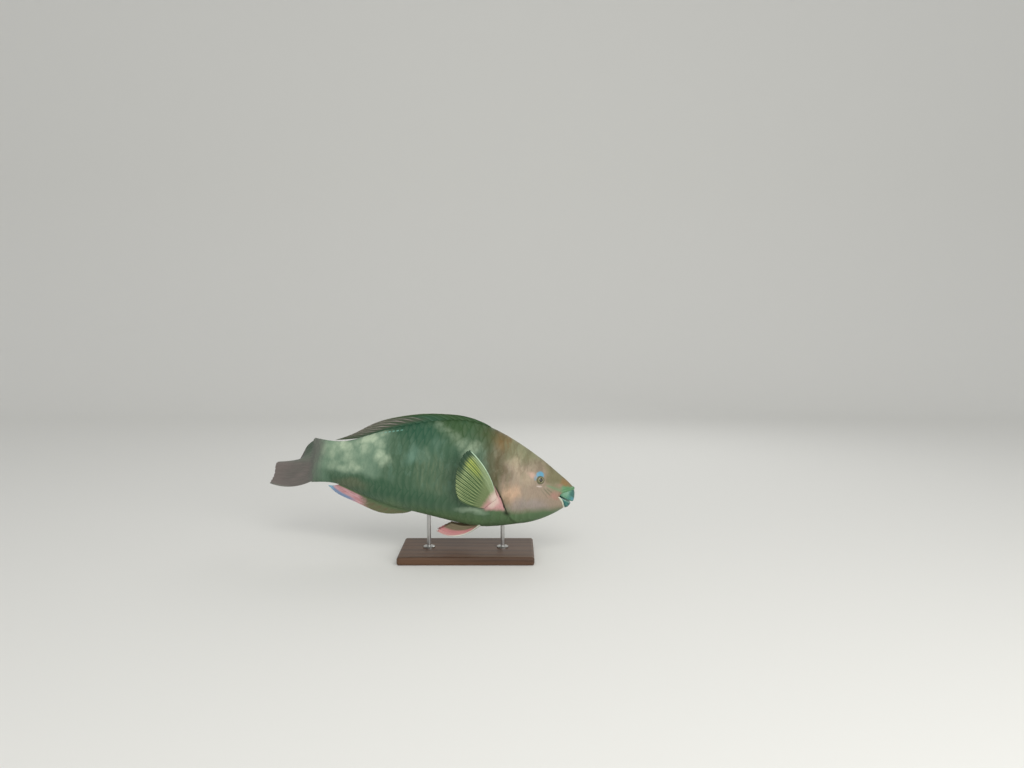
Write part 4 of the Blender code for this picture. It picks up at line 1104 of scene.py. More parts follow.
def add_ring(surface, centre, side, profile, scale, around, corner, dark):
    """Adds a round lid or nostril that lies on the skin."""
    spins = np.linspace(0, math.tau, around, endpoint=False)
    radius, lift = np.array(profile).T
    radius, spin = np.meshgrid(radius * scale, spins, indexing="ij")
    lift = np.broadcast_to(lift[:, None] * min(scale, 1.0), radius.shape)
    s, turn, points = patch_points(centre, side, radius, spin, lift)
    y, h = section(s, turn)
    body = np.stack([s, y, h], axis=-1)
    detail = np.zeros_like(body)
    # dark is 1 for a nostril, whose middle is coloured with painted shade
    detail[..., 1] = dark * bump(radius / scale, 1.1)
    detail[..., 2] = 0.7
    uv = plain_map(len(profile), around + 1, corner, (corner[0] + MAP_CELL, corner[1] + MAP_CELL))
    surface.grid(points, uv, wrap=True, flip=True, body=body, detail=detail)


def add_lip(surface, outline, size, corner):
    """Adds a fleshy lip along an outline on both sides, joined in front on the midline."""
    wide, thick = size
    knots = np.arange(len(outline))
    share = np.linspace(0, len(outline) - 1, LIP_STEPS)
    s, h = (Curve(list(zip(knots, values, strict=True)))(share) for values in zip(*outline, strict=True))
    turns = turn_at(s, h, 1)
    turns[-1] = 90 if h[-1] > 0 else -90
    s = np.concatenate((s, s[-2::-1]))
    turns = np.concatenate((turns, 180 - turns[-2::-1]))
    middle, out = skin_point(s, turns), skin_normal(s, turns)
    tangent = np.gradient(middle, axis=0)
    across = unit(np.cross(out, tangent))
    reach = np.minimum(np.arange(len(s)), np.arange(len(s))[::-1]) / (LIP_STEPS * LIP_TAPER_REACH)
    full = mix(LIP_TAPER, 1.0, smoothstep(reach))[:, None, None]
    spin = np.linspace(0, math.tau, LIP_AROUND, endpoint=False)
    side = np.cos(spin)[None, :, None] * wide * full
    lift = (np.sin(spin) - LIP_SINK)[None, :, None] * thick * full
    points = middle[:, None] + (across[:, None] * side + out[:, None] * lift) * MM
    y, height = section(s, turns)
    body = np.broadcast_to(np.stack([s, y, height], axis=-1)[:, None], points.shape)
    detail = np.zeros(points.shape)
    detail[..., 2] = 1.0
    uv = plain_map(len(s), LIP_AROUND + 1, corner, (corner[0] + MAP_CELL, corner[1] + MAP_CELL))
    surface.grid(points, uv, wrap=True, body=body, detail=detail)


# Scales

SCALE_ACROSS, SCALE_ALONG = 11, 8
SCALE_WIDTH = 0.97  # half of a scale's width, in spaces between rows
SCALE_ROUND = 0.34  # how far the free edge's sides draw back, in scale lengths
SCALE_THICK = 0.2
SCALE_SPREAD = (-88, 88)  # angles of the outermost rows
SCALE_PATCH = 0.003
SCALE_SEED = 71
SCALE_SHARP = 40  # angle in degrees above which an edge of a scale looks sharp
SCALE_SIZE_SPREAD, SCALE_LEAN = 0.04, 0.03  # how much the scales' lengths and leans differ
SCALE_NARROW = 0.25  # how much narrower a scale is at its root
SCALE_ARCH = 0.12  # how far a scale's sides lie lower than its middle
HEAD_SCALES_END, HEAD_SCALE_PITCH = 150, 0.8  # the head's scales are this much shorter
SHOULDER_S = 170  # from here back the scales get smaller
COAT_END = 6  # distance of the last roots from the body's end
COVER_SCALE_END = 2.2  # how far past the gill curve the cover's last scales end
SLIT_CLEAR = (0.9, 3)  # no scale grows between this many lengths and this many mm in front of the slit
SLIT_BED = -1.2  # where scales that come out of the slit start


class Coat:
    """The overlapping scales of one side, in rows that run along the body."""

    def __init__(self, side, settings):
        self.side, self.settings = side, settings
        self.rng = np.random.default_rng(SCALE_SEED + side)
        self.surface = Surface("body", "detail")
        self.angles = np.linspace(-90, 90, 721)
        y, h = section(BEND_START, self.angles)
        self.length = np.concatenate(([0], np.cumsum(np.hypot(np.diff(y), np.diff(h)))))
        low, high = np.interp(SCALE_SPREAD, self.angles, self.length)
        self.rows = np.linspace(low, high, settings.rows)
        self.gap = self.rows[1] - self.rows[0]
        across = np.linspace(-1, 1, SCALE_ACROSS)
        self.across, self.along = np.meshgrid(across, np.linspace(0, 1, SCALE_ALONG))

    def lay(self):
        """Lays every scale, row by row from the belly and each row from the front."""
        settings = self.settings
        for row, middle in enumerate(self.rows):
            centre = np.interp(middle, self.length, self.angles)
            gill = float(gill_station(centre)) if covered(centre) > 0.5 else None
            first = float(scale_front(centre))
            s = first - (row % 2) * 0.5 * settings.length
            while s < STANDARD_LENGTH - COAT_END:
                share = float(np.clip((s - SHOULDER_S) / (STANDARD_LENGTH - SHOULDER_S), 0, 1))
                pitch = mix(settings.length, settings.rear_length, share)
                pitch *= HEAD_SCALE_PITCH if s < HEAD_SCALES_END else 1.0
                root, s = s, s + pitch
                in_slit = gill is not None and gill - SLIT_CLEAR[0] * pitch < root < gill - SLIT_CLEAR[1]
                if root >= first - 1 and not in_slit:
                    self.add_scale(middle, root, pitch, gill)

    def add_scale(self, middle, root, pitch, gill):
        """Adds a scale that grows from the station root. gill is the slit's station in its row, or None."""
        along, across, rng = self.along, self.across, self.rng
        reach = pitch * self.settings.overlap * rng.uniform(1 - SCALE_SIZE_SPREAD, 1 + SCALE_SIZE_SPREAD)
        lean = rng.uniform(-SCALE_LEAN, SCALE_LEAN)
        s = root + reach * along * (1 - SCALE_ROUND * np.abs(across) ** 2.2) + lean * across * pitch
        narrow = 1 - SCALE_NARROW * (1 - along) ** 2
        arc = middle + self.gap * SCALE_WIDTH * across * narrow
        low, high = self.length[0], self.length[-1]
        over = np.clip(arc - high, 0, None) - np.clip(low - arc, 0, None)
        angle = np.interp(np.clip(arc, low, high), self.length, self.angles) + over * 0.9
        on_head = gill is not None and root < gill - SLIT_CLEAR[1]
        edge = gill_station(np.clip(angle, -90, 90))
        if on_head:
            s = np.minimum(s, edge + COVER_SCALE_END)
        turn = angle if self.side > 0 else 180 - angle
        bed = relief(s, turn)
        if gill is not None and not on_head:
            bed = np.where(s <= edge + COVER_EDGE, SLIT_BED, bed)
        lift_share = mix(0.5, 1.0, float(smoothstep(root, 120, 190)))
        top = bed + along * (self.settings.lift - SCALE_ARCH * across**2) * lift_share - 0.04
        y, h = section(s, turn)
        points = lifted(s, turn, top)
        under = points - skin_normal(s, turn) * (SCALE_THICK * MM)
        body = np.stack([s, y, h], axis=-1)
        detail = np.stack([np.full(s.shape, rng.random()), across, along], axis=-1)
        turned = 90 + angle.mean() if self.side > 0 else 270 - angle.mean()
        corner = (turned / 400, root / 640)
        uv = plain_map(*s.shape, corner, (corner[0] + SCALE_PATCH, corner[1] + SCALE_PATCH))
        if self.side > 0:
            points, under, body, detail = (grid[:, ::-1] for grid in (points, under, body, detail))
        self.surface.sheet(points, under, uv, body=body, detail=detail)


# Eyes

EYE_RINGS, EYE_AROUND = 40, 64
EYE_FRONT, EYE_BACK = 0.02, math.radians(118)  # how far round from the pupil the rings of the ball lie
CORNEA_BULGE, CORNEA_REACH = 0.9, math.radians(46)


def eye_material(colours):
    shader = Shader("eye", Roughness=0.14, Specular_IOR_Level=0.4, Coat_Weight=0.3, Coat_Roughness=0.05)
    radius, x, y = shader.split(shader.attribute("ring"))
    spokes = shader.noise(shader.join(x * 9, y * 9, radius * 0.25), 1.0, 4)
    speckle = shader.noise(shader.join(x, y, radius), 2.4, 3)
    ball = shader.blend(colours.iris, colours.sclera, shader.step(spokes + speckle * 0.5, 0.6, 1.1))
    # painted highlight: pale crescents on two sides of the pupil
    pale = shader.steps((radius, PUPIL_RADIUS + 2.2, PUPIL_RADIUS + 1.0), (abs(x + y * 0.4), 0.1, 0.75))
    ball = shader.blend(ball, colours.iris_highlight, pale * 0.6)
    ball = shader.blend(ball, colours.sclera, shader.step(radius, IRIS_RADIUS - 1.8, IRIS_RADIUS - 0.4))
    ball = shader.blend(ball, colours.pupil, shader.step(radius, PUPIL_RADIUS + 0.5, PUPIL_RADIUS - 0.4))
    return shader.finish(Base_Color=ball)


def make_eye(side, word, look):
    """A ball with a slight bulge of the cornea over iris and pupil."""
    surface = Surface("ring")
    at, out = eye_frame(side)
    centre = at - out * EYE_DEPTH * MM
    up = unit(np.array((0.0, 0.0, 1.0)) - out * out[2])
    ahead = np.cross(up, out) * side
    spin = np.linspace(0, math.tau, EYE_AROUND, endpoint=False)
    fall, spin = np.meshgrid(np.linspace(EYE_FRONT, EYE_BACK, EYE_RINGS), spin, indexing="ij")
    radius = EYE_RADIUS + CORNEA_BULGE * bump(fall, CORNEA_REACH)
    turned = np.cos(spin)[..., None] * ahead + np.sin(spin)[..., None] * up
    outward = np.cos(fall)[..., None] * out + np.sin(fall)[..., None] * turned
    points = centre + radius[..., None] * MM * outward
    tip = np.repeat(points[:1].mean(1, keepdims=True), EYE_AROUND, axis=1)
    end = np.repeat(points[-1:].mean(1, keepdims=True), EYE_AROUND, axis=1)
    points = np.concatenate((mix(tip, points[:1], 0.01), points, mix(end, points[-1:], 0.01)))
    side_on = math.pi / 2
    seen = EYE_RADIUS * (np.sin(np.minimum(fall, side_on)) + np.maximum(fall - side_on, 0))
    seen = np.concatenate((seen[:1] * 0, seen, seen[-1:]))
    spin = np.concatenate((spin[:1], spin, spin[-1:]))
    ring = np.stack([seen, np.cos(spin), np.sin(spin)], axis=-1)
    surface.grid(points, plain_map(len(points), EYE_AROUND + 1), wrap=True, flip=side > 0, ring=ring)
    return surface.piece(f"eyeball_{word}", look, "eye", f"eye_{word}")


# Beak

PLATE_LEVELS, PLATE_ARC = 30, 97
PLATE_CLOSING = (4, 3)  # rows that close a plate at its bite and at its root
TOOTH_DEPTH, TOOTH_REACH, TOOTH_TIP = 0.55, 4.0, 1.2
BITE_ROUND, BITE_ROUND_REACH = 0.16, 2.2  # how far the bite's edge is rounded in, and over what height


def beak_material(name, colours, upper):
    shader = Shader(name, Specular_IOR_Level=0.5, Coat_Weight=0.3, Coat_Roughness=0.12)
    distance, around, front = shader.split(shader.attribute("plate"))
    cells = shader.join(around * 26, distance * 0.9, 0.0)
    inputs = {"Vector": cells, "Scale": 1.0}
    tooth = shader.node("ShaderNodeTexVoronoi", {"feature": "DISTANCE_TO_EDGE"}, inputs, output="Distance")
    cloud = shader.noise(shader.join(around * 6, distance * 0.25, front * 0.1), 1.0, 4)
    bite = shader.step(distance + cloud * 2, 3.6, 1.2)
    if upper:
        body = shader.blend(colours.lip_green, colours.upper, shader.step(front + cloud * 8, 15, 27))
        bright = shader.steps((abs(distance - 11), 6, 2), (front, 21, 29))
        body = shader.blend(body, colours.upper_front, bright)
        body = shader.blend(body, colours.lower, shader.steps((distance, 13, 18), (front, 12, 22)) * 0.7)
        body = shader.blend(body, colours.bite, bite * shader.step(front, 12, 24) * 0.7)
        # painted shade in the gap of the bite: the upper plate's bite edge is darkened towards the mouth's
        # corner
        body = shader.blend(body, colours.lower, shader.steps((distance, 2.4, 0.9), (front, 26, 14)) * 0.9)
    else:
        body = shader.blend(colours.lower, colours.lower_light, shader.step(cloud, 0.35, 0.65))
        body = shader.blend(body, colours.bite, bite * shader.step(front, 6, 14) * 0.85)
    body = shader.blend(body, colours.lower, shader.step(tooth, 0.12, 0.02) * 0.25)
    normal = shader.bump(shader.step(tooth, 0.0, 0.3), 0.5, 0.0004)
    return shader.finish(Base_Color=body, Roughness=cloud * 0.12 + 0.2, Normal=normal)


def make_plate(name, levels, direction, look):
    """A beak plate: a stack of arches across the bite, with fused teeth along its edge."""
    surface = Surface("plate")
    back, front, width = (Curve([(level[0], level[k]) for level in levels]) for k in (1, 2, 3))
    distance = levels[-1][0] * np.linspace(0, 1, PLATE_LEVELS) ** 1.4
    turn = math.pi * np.linspace(-0.5, 0.5, PLATE_ARC)
    distance, turn = np.meshgrid(distance, turn, indexing="ij")
    reach = np.clip(np.cos(turn), 0, 1) ** PLATE_FULLNESS
    spread = np.sign(turn) * np.abs(np.sin(turn)) ** PLATE_FULLNESS
    scallop = np.abs(np.sin(turn * TEETH / 2)) ** 0.6
    near = bump(distance, TOOTH_REACH)
    edge = near * (scallop - 0.5) * TOOTH_DEPTH
    corner, tip = np.array(MOUTH_CORNER, float), np.array(MOUTH_TIP, float)
    along = unit(tip - corner)
    down = np.array((-along[1], along[0])) * direction
    round_in = 1 - BITE_ROUND * bump(distance, BITE_ROUND_REACH) ** 2
    u = mix(back(distance) + PLATE_GAP, front(distance) * (1 + 0.012 * edge), reach * round_in)
    side = width(distance) * spread * (1 + 0.01 * edge) * mix(1, round_in, 0.5)
    level = BITE_GAP / 2 + distance - edge * (distance < TOOTH_TIP)
    raised = BITE_RAISE * np.clip(u / np.linalg.norm(tip - corner), 0, 1) * bump(distance, BITE_RAISE_REACH)
    level = level - raised * direction
    s = corner[0] + down[0] * level + along[0] * u
    h = corner[1] + down[1] * level + along[1] * u
    points = place(s, side, h)
    before, after = PLATE_CLOSING
    first = closing_rows(points[0], points[0].mean(0), before)[::-1]
    last = closing_rows(points[-1], points[-1].mean(0), after)
    points = np.concatenate((first, points, last))
    plate = np.stack([distance, turn / math.pi * 2, u], axis=-1)
    plate = np.concatenate(([plate[0]] * before, plate, [plate[-1]] * after))
    surface.grid(points, plain_map(len(points), PLATE_ARC + 1), wrap=True, flip=direction > 0, plate=plate)
    return surface.piece(f"{name}_plate", look, "beak", name)


# Fins

EDGE_NOTCH = 0.012  # depth of the notch between two rays, in ray lengths
SPINE_NOTCH = 3.0  # how much deeper the notches between stiff spines are
EDGE_WEAR = 0.006  # unevenness of the edge, in ray lengths
RAY_JOINTS, JOINT_DEPTH = 26, 0.16  # joints along a ray, and how much thinner it is there
ROOT_SINK = -0.035  # where a fin starts inside the body, in ray lengths
BRANCHES = ((0.2, 0.3, 0.62), (0.06, 0.66, 0.94))  # side step of a ray's forks, and where it starts and ends
RIDGE_WIDTHS = (0.26, 0.095)  # of a ray at its root and its tip, in spaces between rays
SPINE_WIDTHS = (0.24, 0.08)
PLEAT = 0.2  # how far the web's middle swings from side to side between rays, in millimetres


def ray_ridge(u, v, spines):
    """1 along the middle of each ray and its forks, falling to 0 beside them."""
    off = u - np.round(u)
    soft = np.round(u) >= spines
    width = np.where(soft, mix(*RIDGE_WIDTHS, np.clip(v, 0, 1)), mix(*SPINE_WIDTHS, np.clip(v, 0, 1)))
    steps = [step * smoothstep(v, low, high) * soft for step, low, high in BRANCHES]
    ridge = 0.0
    for first in (-1, 1):
        for second in (-1, 1):
            ridge = np.maximum(ridge, bump(off - first * steps[0] - second * steps[1], width))
    return ridge


def bezier(a, b, c, v):
    v = v[..., None]
    return a * (1 - v) ** 2 + b * 2 * v * (1 - v) + c * v**2


def make_fin(name, node, point, rays, look, halves, spines=0, per_ray=16, rows=60, root=None, seed=1):
    """A webbed fin whose rays are ridges on both faces.

    point(u, v) is the fin's middle, u rays across and v along a ray. halves are half thicknesses in
    millimetres, (ray root, ray tip, web root, web tip), and root is (half thickness(u), share of the ray).
    """
    rng = np.random.default_rng(seed)
    u = np.linspace(0, rays - 1, (rays - 1) * per_ray + 1)
    v = np.linspace(ROOT_SINK, 1, rows)
    u, v = np.meshgrid(u, v, indexing="ij")
    off = np.abs(u - np.round(u)) * 2
    spiny = np.round(u) < spines
    ragged = np.interp(u[:, 0], np.arange(0, rays, 0.25), rng.uniform(0, EDGE_WEAR, rays * 4))[:, None]
    notch = EDGE_NOTCH * np.where(spiny, SPINE_NOTCH * off, off**2) + ragged
    fork = EDGE_NOTCH * 0.5 * (1 - ray_ridge(u, np.ones_like(u), spines)) * ~spiny
    reach = v * (1 - (notch + fork) * smoothstep(v, 0.5, 1.0))
    middle = point(u, reach)
    across, along = np.gradient(middle, axis=0), np.gradient(middle, axis=1)
    normal = unit(np.cross(along, across))
    ridge = ray_ridge(u, v, spines)
    share = np.clip(v, 0, 1)
    half = mix(mix(halves[2], halves[3], share), mix(halves[0], halves[1], share), ridge)
    joints = 0.5 + 0.5 * np.cos(v * math.tau * RAY_JOINTS)
    half = half * (1 - JOINT_DEPTH * ridge * joints * smoothstep(v, 0.25, 0.45) * ~spiny)
    if root:
        swollen, root_share = root
        half = mix(half, swollen(u), bump(np.clip(v, 0, 1), root_share) ** 1.5)
    middle = middle + normal * (PLEAT * MM * np.cos(u * math.tau) * smoothstep(v, 0.1, 0.5))[..., None]
    swell = normal * half[..., None] * MM
    ray = np.stack([u, v, ridge], axis=-1)
    surface = Surface("ray")
    surface.sheet(middle + swell, middle - swell, plain_map(*u.shape), ray=ray)
    return surface.piece(name, look, "fin", node)


def fin_shader(name):
    """A fin material's shader with its parts: place across and along, ridge and a grain along the rays."""
    shader = Shader(name, Specular_IOR_Level=0.3)
    u, v, ridge = shader.split(shader.attribute("ray"))
    grain = shader.noise(shader.join(u * 3.2, v * 5, 0.0), 1.0, 4, 0.6)
    return shader, u, v, ridge, grain


def ray_lines(shader, u, v, thin):
    """1 on thin lines along the rays and their forks."""
    off = (u + 0.5).fraction() - 0.5
    for step, low, high in BRANCHES:
        off = abs(off) - shader.step(v, low, high) * step
    return shader.step(abs(off), thin * 1.7, thin * 0.6)


def finish_fin(shader, body, ridge, grain, v):
    joints = (v * 160).wave() * ridge
    body = shader.blend(body, (0.0, 0.0, 0.0), shader.step(grain, 0.62, 0.3) * 0.12)
    normal = shader.bump(grain * 0.6 + joints * 0.25, 0.3, 0.0003)
    return shader.finish(Base_Color=body, Roughness=0.54 - ridge * 0.1, Normal=normal)


def pectoral_material(c):
    shader, u, v, ridge, grain = fin_shader("pectoral fin")
    last = PECTORAL_RAYS - 1
    inner = shader.step(u, last * 0.5, 0.0) * 0.12 + 0.34
    striped = shader.step(v - inner, -0.12, 0.16)
    lines = ray_lines(shader, u, v, 0.06) * (grain * 0.6 + 0.65).less(1.0)
    web = shader.blend(c.pectoral_plain, c.pectoral_web, striped)
    body = shader.blend(web, c.pectoral_ray, lines * striped * 0.9)
    yellow = shader.steps((u, 4.6, 2.6), (u, 0.9, 1.6), (v, 0.42, 0.66), (v, 0.97, 0.85))
    body = shader.blend(body, c.pectoral_yellow, yellow * (lines * 0.7 + 0.18))
    front = shader.step(u + v * 3.4, 4.4, 2.6)
    body = shader.blend(body, c.pectoral_lead, front * (grain * 0.3 + 0.5))
    dark = shader.steps((v + grain * 0.1, 0.86, 1.0), (u, 9.5, 4.0))
    dark = dark.greater(shader.step(v, 0.965, 0.995) * 0.6)
    dark = dark.greater(shader.steps((u, last - 0.6, last - 0.25), (v, 0.12, 0.3)) * 0.85)
    body = shader.blend(body, c.pectoral_dark, dark)
    lead = shader.steps((u, 0.34, 0.12), (v, 1.0, 0.94))
    body = shader.blend(body, c.pectoral_edge, lead * 0.85)
    base = shader.step(v + grain * 0.2, 0.27, 0.09)
    body = shader.blend(body, c.pectoral_rose, base * 0.9)
    white = shader.steps((v + grain * 0.16, 0.25, 0.08), (u, last * 0.6, last * 0.2))
    body = shader.blend(body, c.pectoral_base, white * 0.9)
    return finish_fin(shader, body, ridge, grain, v)


def dorsal_material(c, fish):
    shader, u, v, ridge, grain = fin_shader("dorsal fin")
    rear = shader.step(u - v * 1.5, 7.0, 9.5)
    body = shader.blend(fish.back, c.dorsal_edge, shader.steps((v, 0.6, 1.0), (u, 1.0, 3.0)) * 0.6)
    body = shader.blend(body, fish.saddle, shader.steps((u, 4.5, 8.0), (v, 0.8, 0.3)) * 0.8)
    body = shader.blend(body, c.dorsal_dark, rear * shader.step(v, 0.0, 0.2) * 0.8)
    lines = shader.steps((ridge, 0.15, 0.7), (v, 0.1, 0.35)) * (shader.step(grain, 0.35, 0.6) * 0.5 + 0.5)
    body = shader.blend(body, c.dorsal_rose, rear * lines * shader.step(u, 18.0, 15.0))
    return finish_fin(shader, body, ridge, grain, v)


def anal_material(c, fish):
    shader, u, v, ridge, grain = fin_shader("anal fin")
    s = u * ((ANAL_ROOT[1] - ANAL_ROOT[0]) / (ANAL_RAYS - 1)) + ANAL_ROOT[0] + v * ANAL_SWEEP[0]
    body = shader.blend(fish.belly, c.anal_brown, shader.step(v, 0.0, 0.4) * (ridge * 0.35 + 0.65))
    rose = shader.step(s + grain * 20 + v * 6, 468, 502)
    folds = shader.noise(shader.join(u * 0.5, v * 7, 0.0), 1.0, 3)
    pink = shader.blend(c.anal_rose, c.anal_streak, shader.step(folds, 0.4, 0.65) * 0.8)
    body = shader.blend(body, pink, rose * shader.step(v, 0.04, 0.2))
    margin = shader.steps((v + grain * 0.14, 0.62, 0.84), (s, 482, 512))
    body = shader.blend(body, c.anal_blue, margin * 0.92)
    body = shader.blend(body, c.anal_tip, shader.step(s, 543, 556) * 0.85)
    return finish_fin(shader, body, ridge, grain, v)


def caudal_material(c, fish):
    shader, u, v, ridge, grain = fin_shader("tail fin")
    cloud = shader.noise(shader.join(u * 0.35, v * 2.2, 0.0), 1.0, 3)
    tone = ridge * 0.15 + shader.step(cloud, 0.35, 0.65) * 0.4 + 0.2
    body = shader.blend(c.caudal_dark, c.caudal_rose, tone)
    body = shader.blend(body, c.caudal_rose, shader.step(v, 0.5, 0.9) * 0.6)
    # painted shade: the turned upper half of the fin is coloured darker and greener
    body = shader.blend(body, c.caudal_upper_shade, shader.steps((u, 7.5, 12.0), (v, 0.8, 0.3)) * 0.8)
    body = shader.blend(body, fish.stalk, shader.steps((u, 5.5, 8.5), (u, 12.5, 9.0)) * 0.3)
    outer = shader.step(u, 0.6, 0.2).greater(shader.step(u, CAUDAL_RAYS - 1.9, CAUDAL_RAYS - 1.3))
    body = shader.blend(body, c.caudal_edge, outer * shader.step(v, 0.4, 0.8) * 0.5)
    body = shader.blend(body, fish.caudal, shader.step(v + grain * 0.05, 0.22, 0.03))
    return finish_fin(shader, body, ridge, grain, v)


def pelvic_material(c):
    shader, u, v, ridge, grain = fin_shader("pelvic fins")
    # painted shade: the inner rays and the root of the fin are darkened
    body = shader.blend(c.pelvic_rose, c.pelvic_shade, shader.step(u + grain * 0.6, 2.5, 3.5))
    body = shader.blend(body, c.pelvic_shade, shader.step(v, 0.22, 0.04) * 0.8)
    body = shader.blend(body, c.pelvic_lead, shader.steps((ridge, 0.3, 0.9), (u, 2.0, 1.0)) * 0.2)
    lead = shader.step(u + v * 0.5, 1.1, 0.5) * (shader.step(v, 0.8, 0.5) * 0.65 + 0.3)
    body = shader.blend(body, c.pelvic_lead, lead)
    return finish_fin(shader, body, ridge, grain, v)


def dorsal_point(u, v):
    edge, tips = Curve(DORSAL_EDGE), Curve(DORSAL_TIPS)
    share = u / (DORSAL_RAYS - 1)
    s0, s1 = mix(*DORSAL_ROOT, share), tips(share)
    bend = mix(s0, s1, DORSAL_BOW[0])
    bowed = place(bend, 0, top_line(bend) + DORSAL_BOW[1] * (edge(s1) - top_line(s1)))
    return bezier(place(s0, 0, top_line(s0)), bowed, place(s1, 0, edge(s1)), v)


def anal_point(u, v):
    edge = Curve(ANAL_EDGE)
    share = u / (ANAL_RAYS - 1)
    s0 = mix(*ANAL_ROOT, share)
    s1 = s0 + mix(*ANAL_SWEEP, share)
    root = place(s0, 0, belly_line(s0))
    bowed = place(mix(s0, s1, ANAL_BOW[0]), 0, mix(belly_line(s0), edge(s1), 0.5) - ANAL_BOW[1])
    return bezier(root, bowed, place(s1, 0, edge(s1)), v)


def caudal_paths(places):
    """Places along rays of the tail fin, stepped out from the spine's end, for places from -1 to 1."""
    mean_fall, ease, tip_yaw = Curve(CAUDAL_FALL), Curve(CAUDAL_FALL_EASE), Curve(CAUDAL_TIP_YAW)
    x, y = spine_point(np.full(len(places), float(STANDARD_LENGTH)))
    z = mix(*CAUDAL_ROOT_HEIGHTS, (places + 1) / 2) - y * TAIL_SAG
    step = CAUDAL_RAY_LENGTH * (1 - CAUDAL_NOTCH * (1 - places**2)) / CAUDAL_PATH_STEPS
    path = [np.stack([x, y, z])]
    for k in range(CAUDAL_PATH_STEPS):
        share = (k + 0.5) / CAUDAL_PATH_STEPS
        turned = min(1.0, share * CAUDAL_YAW_REACH) ** CAUDAL_YAW_EASE
        yaw = mix(TAIL_YAW, np.radians(tip_yaw(places)), turned)
        fall = np.radians(mean_fall(places) + ease(places) * (share - 0.5))
        fall = fall * smoothstep(share * CAUDAL_FALL_REACH + CAUDAL_FALL_START)
        ahead = np.stack([-np.cos(yaw) * np.cos(fall), np.sin(yaw) * np.cos(fall), np.sin(fall)])
        path.append(path[-1] + step * ahead)
    return np.stack(path)


def caudal_point(u, v):
    paths = caudal_paths(2 * u[:, 0] / (CAUDAL_RAYS - 1) - 1)
    at = v * CAUDAL_PATH_STEPS
    k = np.clip(at.astype(int), 0, CAUDAL_PATH_STEPS - 1)
    share = at - k
    column = np.arange(len(u))[:, None]
    x, y, z = (mix(paths[k, axis, column], paths[k + 1, axis, column], share) for axis in range(3))
    return tip_down(x, y, z)


def pectoral_point(side):
    tips = [Curve([(tip[0], tip[axis]) for tip in PECTORAL_TIPS]) for axis in (1, 2, 3)]

    def point(u, v):
        share = u / (PECTORAL_RAYS - 1)
        (s0, h0), (s1, h1) = PECTORAL_ROOT
        s, h = mix(s0, s1, share), mix(h0, h1, share)
        root = lifted(s, turn_at(s, h, side), np.full(s.shape, 0.6))
        tip = place(tips[0](share), side * tips[1](share), tips[2](share))
        ds, dy, dh = (mix(a, b, share) for a, b in zip(*PECTORAL_BOW, strict=True))
        bowed = mix(root, tip, 0.5) + place(s + ds, side * dy, h + dh) - place(s, 0, h)
        return bezier(root, bowed, tip, v)

    return point


def pelvic_point(side):
    def point(u, v):
        share = u / (PELVIC_RAYS - 1)
        (s0, y0), (s1, y1) = PELVIC_ROOT
        s, y = mix(s0, s1, share), mix(y0, y1, share)
        angle = -np.degrees(np.arccos(np.clip(y / half_width(s), 0, 1)))
        root = lifted(s, angle if side > 0 else 180 - angle, np.full(s.shape, 0.3))
        first, middle, last = (np.array(tip, float) for tip in PELVIC_TIPS)
        tip = bezier(first, middle, last, share)
        bow = mix(np.array(PELVIC_BOW[0], float), np.array(PELVIC_BOW[1], float), share[..., None])
        tip_at = place(tip[..., 0], side * tip[..., 1], tip[..., 2])
        return bezier(root, place(bow[..., 0], side * bow[..., 1], bow[..., 2]), tip_at, v)

    return point


# Stand


def wood_material(colours):
    shader = Shader("oiled wood", Specular_IOR_Level=0.4)
    at = shader.node("ShaderNodeTexCoord", output="Object")
    wander = shader.noise(shader.stretched(at, (3.0, 14.0, 14.0)), 1.0, 3)
    _, y, z = shader.split(at)
    rings = ((y * 210 + z * 90 + wander * 9).wave() + 1) * 0.5
    fibre = shader.noise(shader.stretched(at, (9.0, 420.0, 420.0)), 1.0, 4, 0.7)
    dark = rings**2 * 0.55 + shader.step(fibre, 0.5, 0.75) * 0.4
    body = shader.blend(colours.wood, colours.wood_grain, dark)
    normal = shader.bump(fibre + rings * 0.3, 0.25, 0.0003)
    return shader.finish(Base_Color=body, Roughness=fibre * 0.2 + 0.34, Normal=normal)


def steel_material(colours):
    shader = Shader("brushed steel", Metallic=1.0)
    at = shader.node("ShaderNodeTexCoord", output="Object")
    brush = shader.noise(shader.stretched(at, (60.0, 60.0, 2400.0)), 1.0, 4, 0.7)
    body = shader.blend(colours.steel, (0.2, 0.2, 0.2), shader.step(brush, 0.45, 0.8) * 0.25)
    normal = shader.bump(brush, 0.15, 0.0001)
    return shader.finish(Base_Color=body, Roughness=brush * 0.22 + 0.2, Normal=normal)


# Stage


LIGHT_TARGET = (0.0, 0.0, 0.18)
# Lights, as (name, setting, place, size, tint)
LIGHTS = (
    ("key light", "key", (0.3, -2.3, 2.2), 2.0, (1.0, 0.985, 0.95)),
    ("fill light", "fill", (1.6, -2.2, 0.8), 1.8, (1.0, 0.985, 0.96)),
    ("rim light", "rim", (0.6, 1.7, 1.5), 1.2, (1.0, 1.0, 1.0)),
)
SENSOR_WIDTH = 36.0


def area_light(name, power, at, size, tint):
    data = bpy.data.lights.new(name, "AREA")
    data.shape, data.size, data.energy, data.color = "DISK", size, power, tint
    light = add_object(name, data)
    light.location = at
    light.rotation_euler = (Vector(LIGHT_TARGET) - Vector(at)).to_track_quat("-Z", "Y").to_euler()


def floor_material(settings):
    shader = Shader("studio floor", Roughness=0.85, Specular_IOR_Level=0.2)
    at = shader.node("ShaderNodeTexCoord", output="Object")
    grain = shader.noise(at, 900.0, 2)
    body = shader.blend(settings.floor, (0.7, 0.7, 0.69), shader.step(grain, 0.4, 0.9) * 0.08)
    return shader.finish(Base_Color=body)


